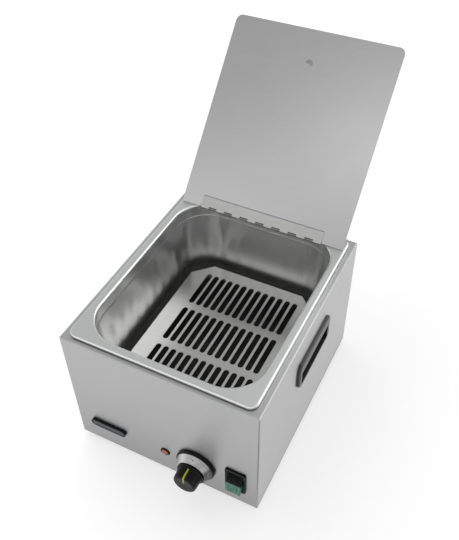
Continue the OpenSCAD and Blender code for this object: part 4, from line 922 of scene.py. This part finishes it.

# %% [markdown]
# A thin flat grey bead lies along the upper edge of the lid's leaf. It is painted shade: it
# stands in for the dark line of shade along that edge.

# %% Bead along the leaf
BEAD_SIZE, BEAD_AT = (194.5 * MM, 1.5 * MM, 0.5 * MM), (0, -17.5 * MM, -1.44 * MM)
BEAD_FACE = -1.6 * MM
# Painted shade: a bead along the leaf's upper edge.
clear()
bpy.ops.mesh.primitive_cube_add(size=1)
bead = begin("leaf_shade_bead")
bpy.ops.transform.resize(value=BEAD_SIZE)
bpy.ops.transform.translate(value=BEAD_AT)
pick("EDGE", lambda edge: middle(edge).z < BEAD_FACE)
bpy.ops.mesh.bevel(offset=0.3 * MM, segments=3, affect="EDGES")
clear()
on_lid(bead)
done(bead, seal_rubber, "lid", "seal_rubber")

# %% [markdown]
# ## Everything else keeps its CAD shape
# Screws, nuts, wires and the works under the pan are right as they are, down to the
# recess in a screw's head. They only need the finish of what they are made from.

# %% Finishes for the CAD pieces
eased_copy("lid_knob", 0.3, black_plastic, "lid", "black_plastic")
eased_copy("lid_stops", 0.2, hinge_steel, "housing", "hinge_steel")
eased_copy("cable_gland", 0.3, black_plastic, "housing", "black_plastic")
dress(fastener_steel, "back_screws", "base_screws", "foot_screws", "foot_nuts",
      "strip_rivets", "hinge_pin", "thermostat_screws", "thermostat_shaft", "lamp_nut",
      "pan_studs", "stud_nuts", "shield_spacers", "element_pins", "switch_tabs")
dress(screw_steel, "lid_screw")
dress(casing_steel, "base_plate")
dress(plate_steel, "insert_legs")
dress(rim_rubber, "rim_seal")
dress(zinc_sheet, "thermostat_body", "element_plate", "heat_shield", "bulb_clips")
dress(element_metal, "heating_element")
dress(copper_brass, "thermostat_bulb", "earth_bolt")
dress(black_plastic, "gland_nut", "lamp_body", "switch_body")
dress(white_plastic, "terminal_block")
dress(cutout_plastic, "safety_cutout")
dress(brown_wire, "live_wires")
dress(blue_wire, "neutral_wires")
dress(green_wire, "earth_wire")
bare = [name for name, piece in frame["nodes"].items() if not piece.hide_render
        and not any(place.material and place.material.name in bpy.data.materials
                    and place.material.node_tree.nodes.get("Principled BSDF")
                    for place in piece.material_slots)]
print("CAD pieces shown without a finish:", bare)

# %% [markdown]
# ## A plain studio
# The machine stands on a plain white floor in soft light. The floor and the world look
# white to the camera, and the floor still takes the machine's shadow. Bare metal looks
# like what it mirrors. So its greys are set by soft zones in the world, some darker and
# some brighter than the rest, and by a dark card and a soft shadow on the floor. The
# camera and plain surfaces don't see any of these.

# %% Floor
# Its size, the grey with which it lights the machine, and its white where it is seen.
FLOOR_SIZE, FLOOR_GREY, FLOOR_WHITE, FLOOR_GLOW = 30, 0.8, 0.60, 0.57
CARD_AT, CARD_EDGE, CARD_CORE, CARD_DARK = (0.26, -0.26, 0), 0.15, 0.06, 0.8
SHADOW_FROM, SHADOW_FULL, SHADOW_RIGHT, SHADOW_DARK = -0.29, -0.18, 0.15, 0.26
clear()
bpy.ops.mesh.primitive_plane_add(size=FLOOR_SIZE)
floor = bpy.context.object
floor.name = floor.data.name = "floor"
paper = bpy.data.materials.new("white_paper_floor")
paper.use_nodes = True
tree = paper.node_tree
tree.nodes.clear()
path = node(tree, "ShaderNodeLightPath").outputs
seen = maths(tree, "MAXIMUM", path["Is Camera Ray"], path["Is Transmission Ray"])
seen = maths(tree, "MAXIMUM", seen, path["Is Glossy Ray"])
# The card lies off the front right corner, and the shadow along the front.
on_floor = node(tree, "ShaderNodeTexCoord").outputs["Object"]
to_card = node(tree, "ShaderNodeVectorMath", {0: on_floor, 1: CARD_AT},
               operation="DISTANCE").outputs["Value"]
card = ramp(tree, to_card, CARD_EDGE, CARD_CORE, CARD_DARK)
apart = node(tree, "ShaderNodeSeparateXYZ", {0: on_floor}).outputs
shadow = ramp(tree, apart[1], SHADOW_FROM, SHADOW_FULL, SHADOW_DARK)
shadow = maths(tree, "MULTIPLY", shadow, maths(tree, "LESS_THAN", apart[0], SHADOW_RIGHT))
dark = maths(tree, "MAXIMUM", card, shadow)
dark = maths(tree, "MULTIPLY", dark, path["Is Glossy Ray"])
glow = node(tree, "ShaderNodeEmission", {
    "Color": (1, 1, 1, 1), "Strength": maths(tree, "MULTIPLY_ADD", dark, -FLOOR_GLOW, FLOOR_GLOW)})
lit = node(tree, "ShaderNodeBsdfDiffuse", {
    "Color": maths(tree, "MULTIPLY_ADD", dark, -FLOOR_WHITE, FLOOR_WHITE)})
white = node(tree, "ShaderNodeAddShader", {0: lit.outputs[0], 1: glow.outputs[0]})
plain = node(tree, "ShaderNodeBsdfDiffuse", {"Color": [FLOOR_GREY] * 3 + [1]})
both = node(tree, "ShaderNodeMixShader", {0: seen, 1: plain.outputs[0], 2: white.outputs[0]})
node(tree, "ShaderNodeOutputMaterial", {"Surface": both.outputs[0]})
floor.data.materials.append(paper)
print("floor", floor.dimensions[0], "m wide")

# %% World
world = bpy.data.worlds.new("studio")
bpy.context.scene.world = world
world.use_nodes = True
tree = world.node_tree
tree.nodes.clear()
path = node(tree, "ShaderNodeLightPath").outputs
way = node(tree, "ShaderNodeTexCoord").outputs["Generated"]
PLAIN_LEVEL = 0.62
# Each soft zone: where its middle is, the cosines of its rim and core, and its change.
ZONES = [((0, 0, 1), 0.10, 0.60, -0.34),
         ((-0.31, -0.65, 0.69), 0.84, 0.97, 0.22),
         ((-0.28, -0.44, 0.85), 0.955, 0.995, -0.30),
         ((-0.54, -0.55, 0.64), 0.965, 0.998, -0.32),
         ((-0.15, -0.64, 0.75), 0.985, 0.999, 0.72),
         ((-0.12, -0.79, 0.60), 0.975, 0.998, -0.48),
         ((-0.17, -0.54, 0.82), 0.988, 0.999, -0.26),
         ((-0.42, -0.76, 0.50), 0.960, 0.998, 0.35),
         ((0.33, 0.62, 0.71), 0.885, 0.985, 1.60),
         ((0.72, 0.60, 0.36), 0.95, 0.99, -0.60),
         ((0.85, 0.50, 0.12), 0.93, 0.985, 1.10)]
studio = 1.0
for middle_way, edge_at, core_at, change in ZONES:
    facing = node(tree, "ShaderNodeVectorMath", {0: way, 1: Vector(middle_way).normalized()},
                  operation="DOT_PRODUCT").outputs["Value"]
    studio = maths(tree, "ADD", studio, ramp(tree, facing, edge_at, core_at, change))
mirrored = maths(tree, "MAXIMUM", path["Is Glossy Ray"], path["Is Transmission Ray"])
level = maths(tree, "MAXIMUM", PLAIN_LEVEL, maths(tree, "MULTIPLY", studio, mirrored))
level = maths(tree, "MAXIMUM", level, path["Is Camera Ray"])
sky = node(tree, "ShaderNodeBackground", {"Color": (1, 1, 1, 1), "Strength": level})
node(tree, "ShaderNodeOutputWorld", {"Surface": sky.outputs[0]})
print("soft zones:", len(ZONES), "and world level for plain surfaces:", PLAIN_LEVEL)

# %% Lamp
LAMP_AT, LAMP_AIM = Vector((-1.5, 0.8, 2.6)), Vector((0, 0, 0.15))
clear()
bpy.ops.object.light_add(type="AREA", location=LAMP_AT)
lamp = bpy.context.object
lamp.name = "key_softbox"
lamp.data.size = 2.2
lamp.data.energy = 24
lamp.visible_glossy = False
lamp.rotation_euler = (LAMP_AIM - LAMP_AT).to_track_quat("-Z", "Y").to_euler()
print(lamp.name, "with", lamp.data.energy, "W")

# %% [markdown]
# ## The camera
# The photograph looks down at the right front corner from a little over a metre. Place,
# turn and lens were fitted to the machine's known edges.

# %% Camera
CAMERA_AT, CAMERA_TURN = (0.32631, -0.59436, 0.91856), (45.531, 0.703, 26.654)
LENS, SENSOR = 47.411, 36
bpy.ops.object.camera_add(location=CAMERA_AT,
                          rotation=[math.radians(turn) for turn in CAMERA_TURN])
camera = bpy.context.object
camera.data.lens = LENS
camera.data.sensor_width = SENSOR
bpy.context.scene.camera = camera
bpy.context.scene.view_settings.view_transform = "Standard"
print("camera", round(camera.location.length, 3), "m from the origin")
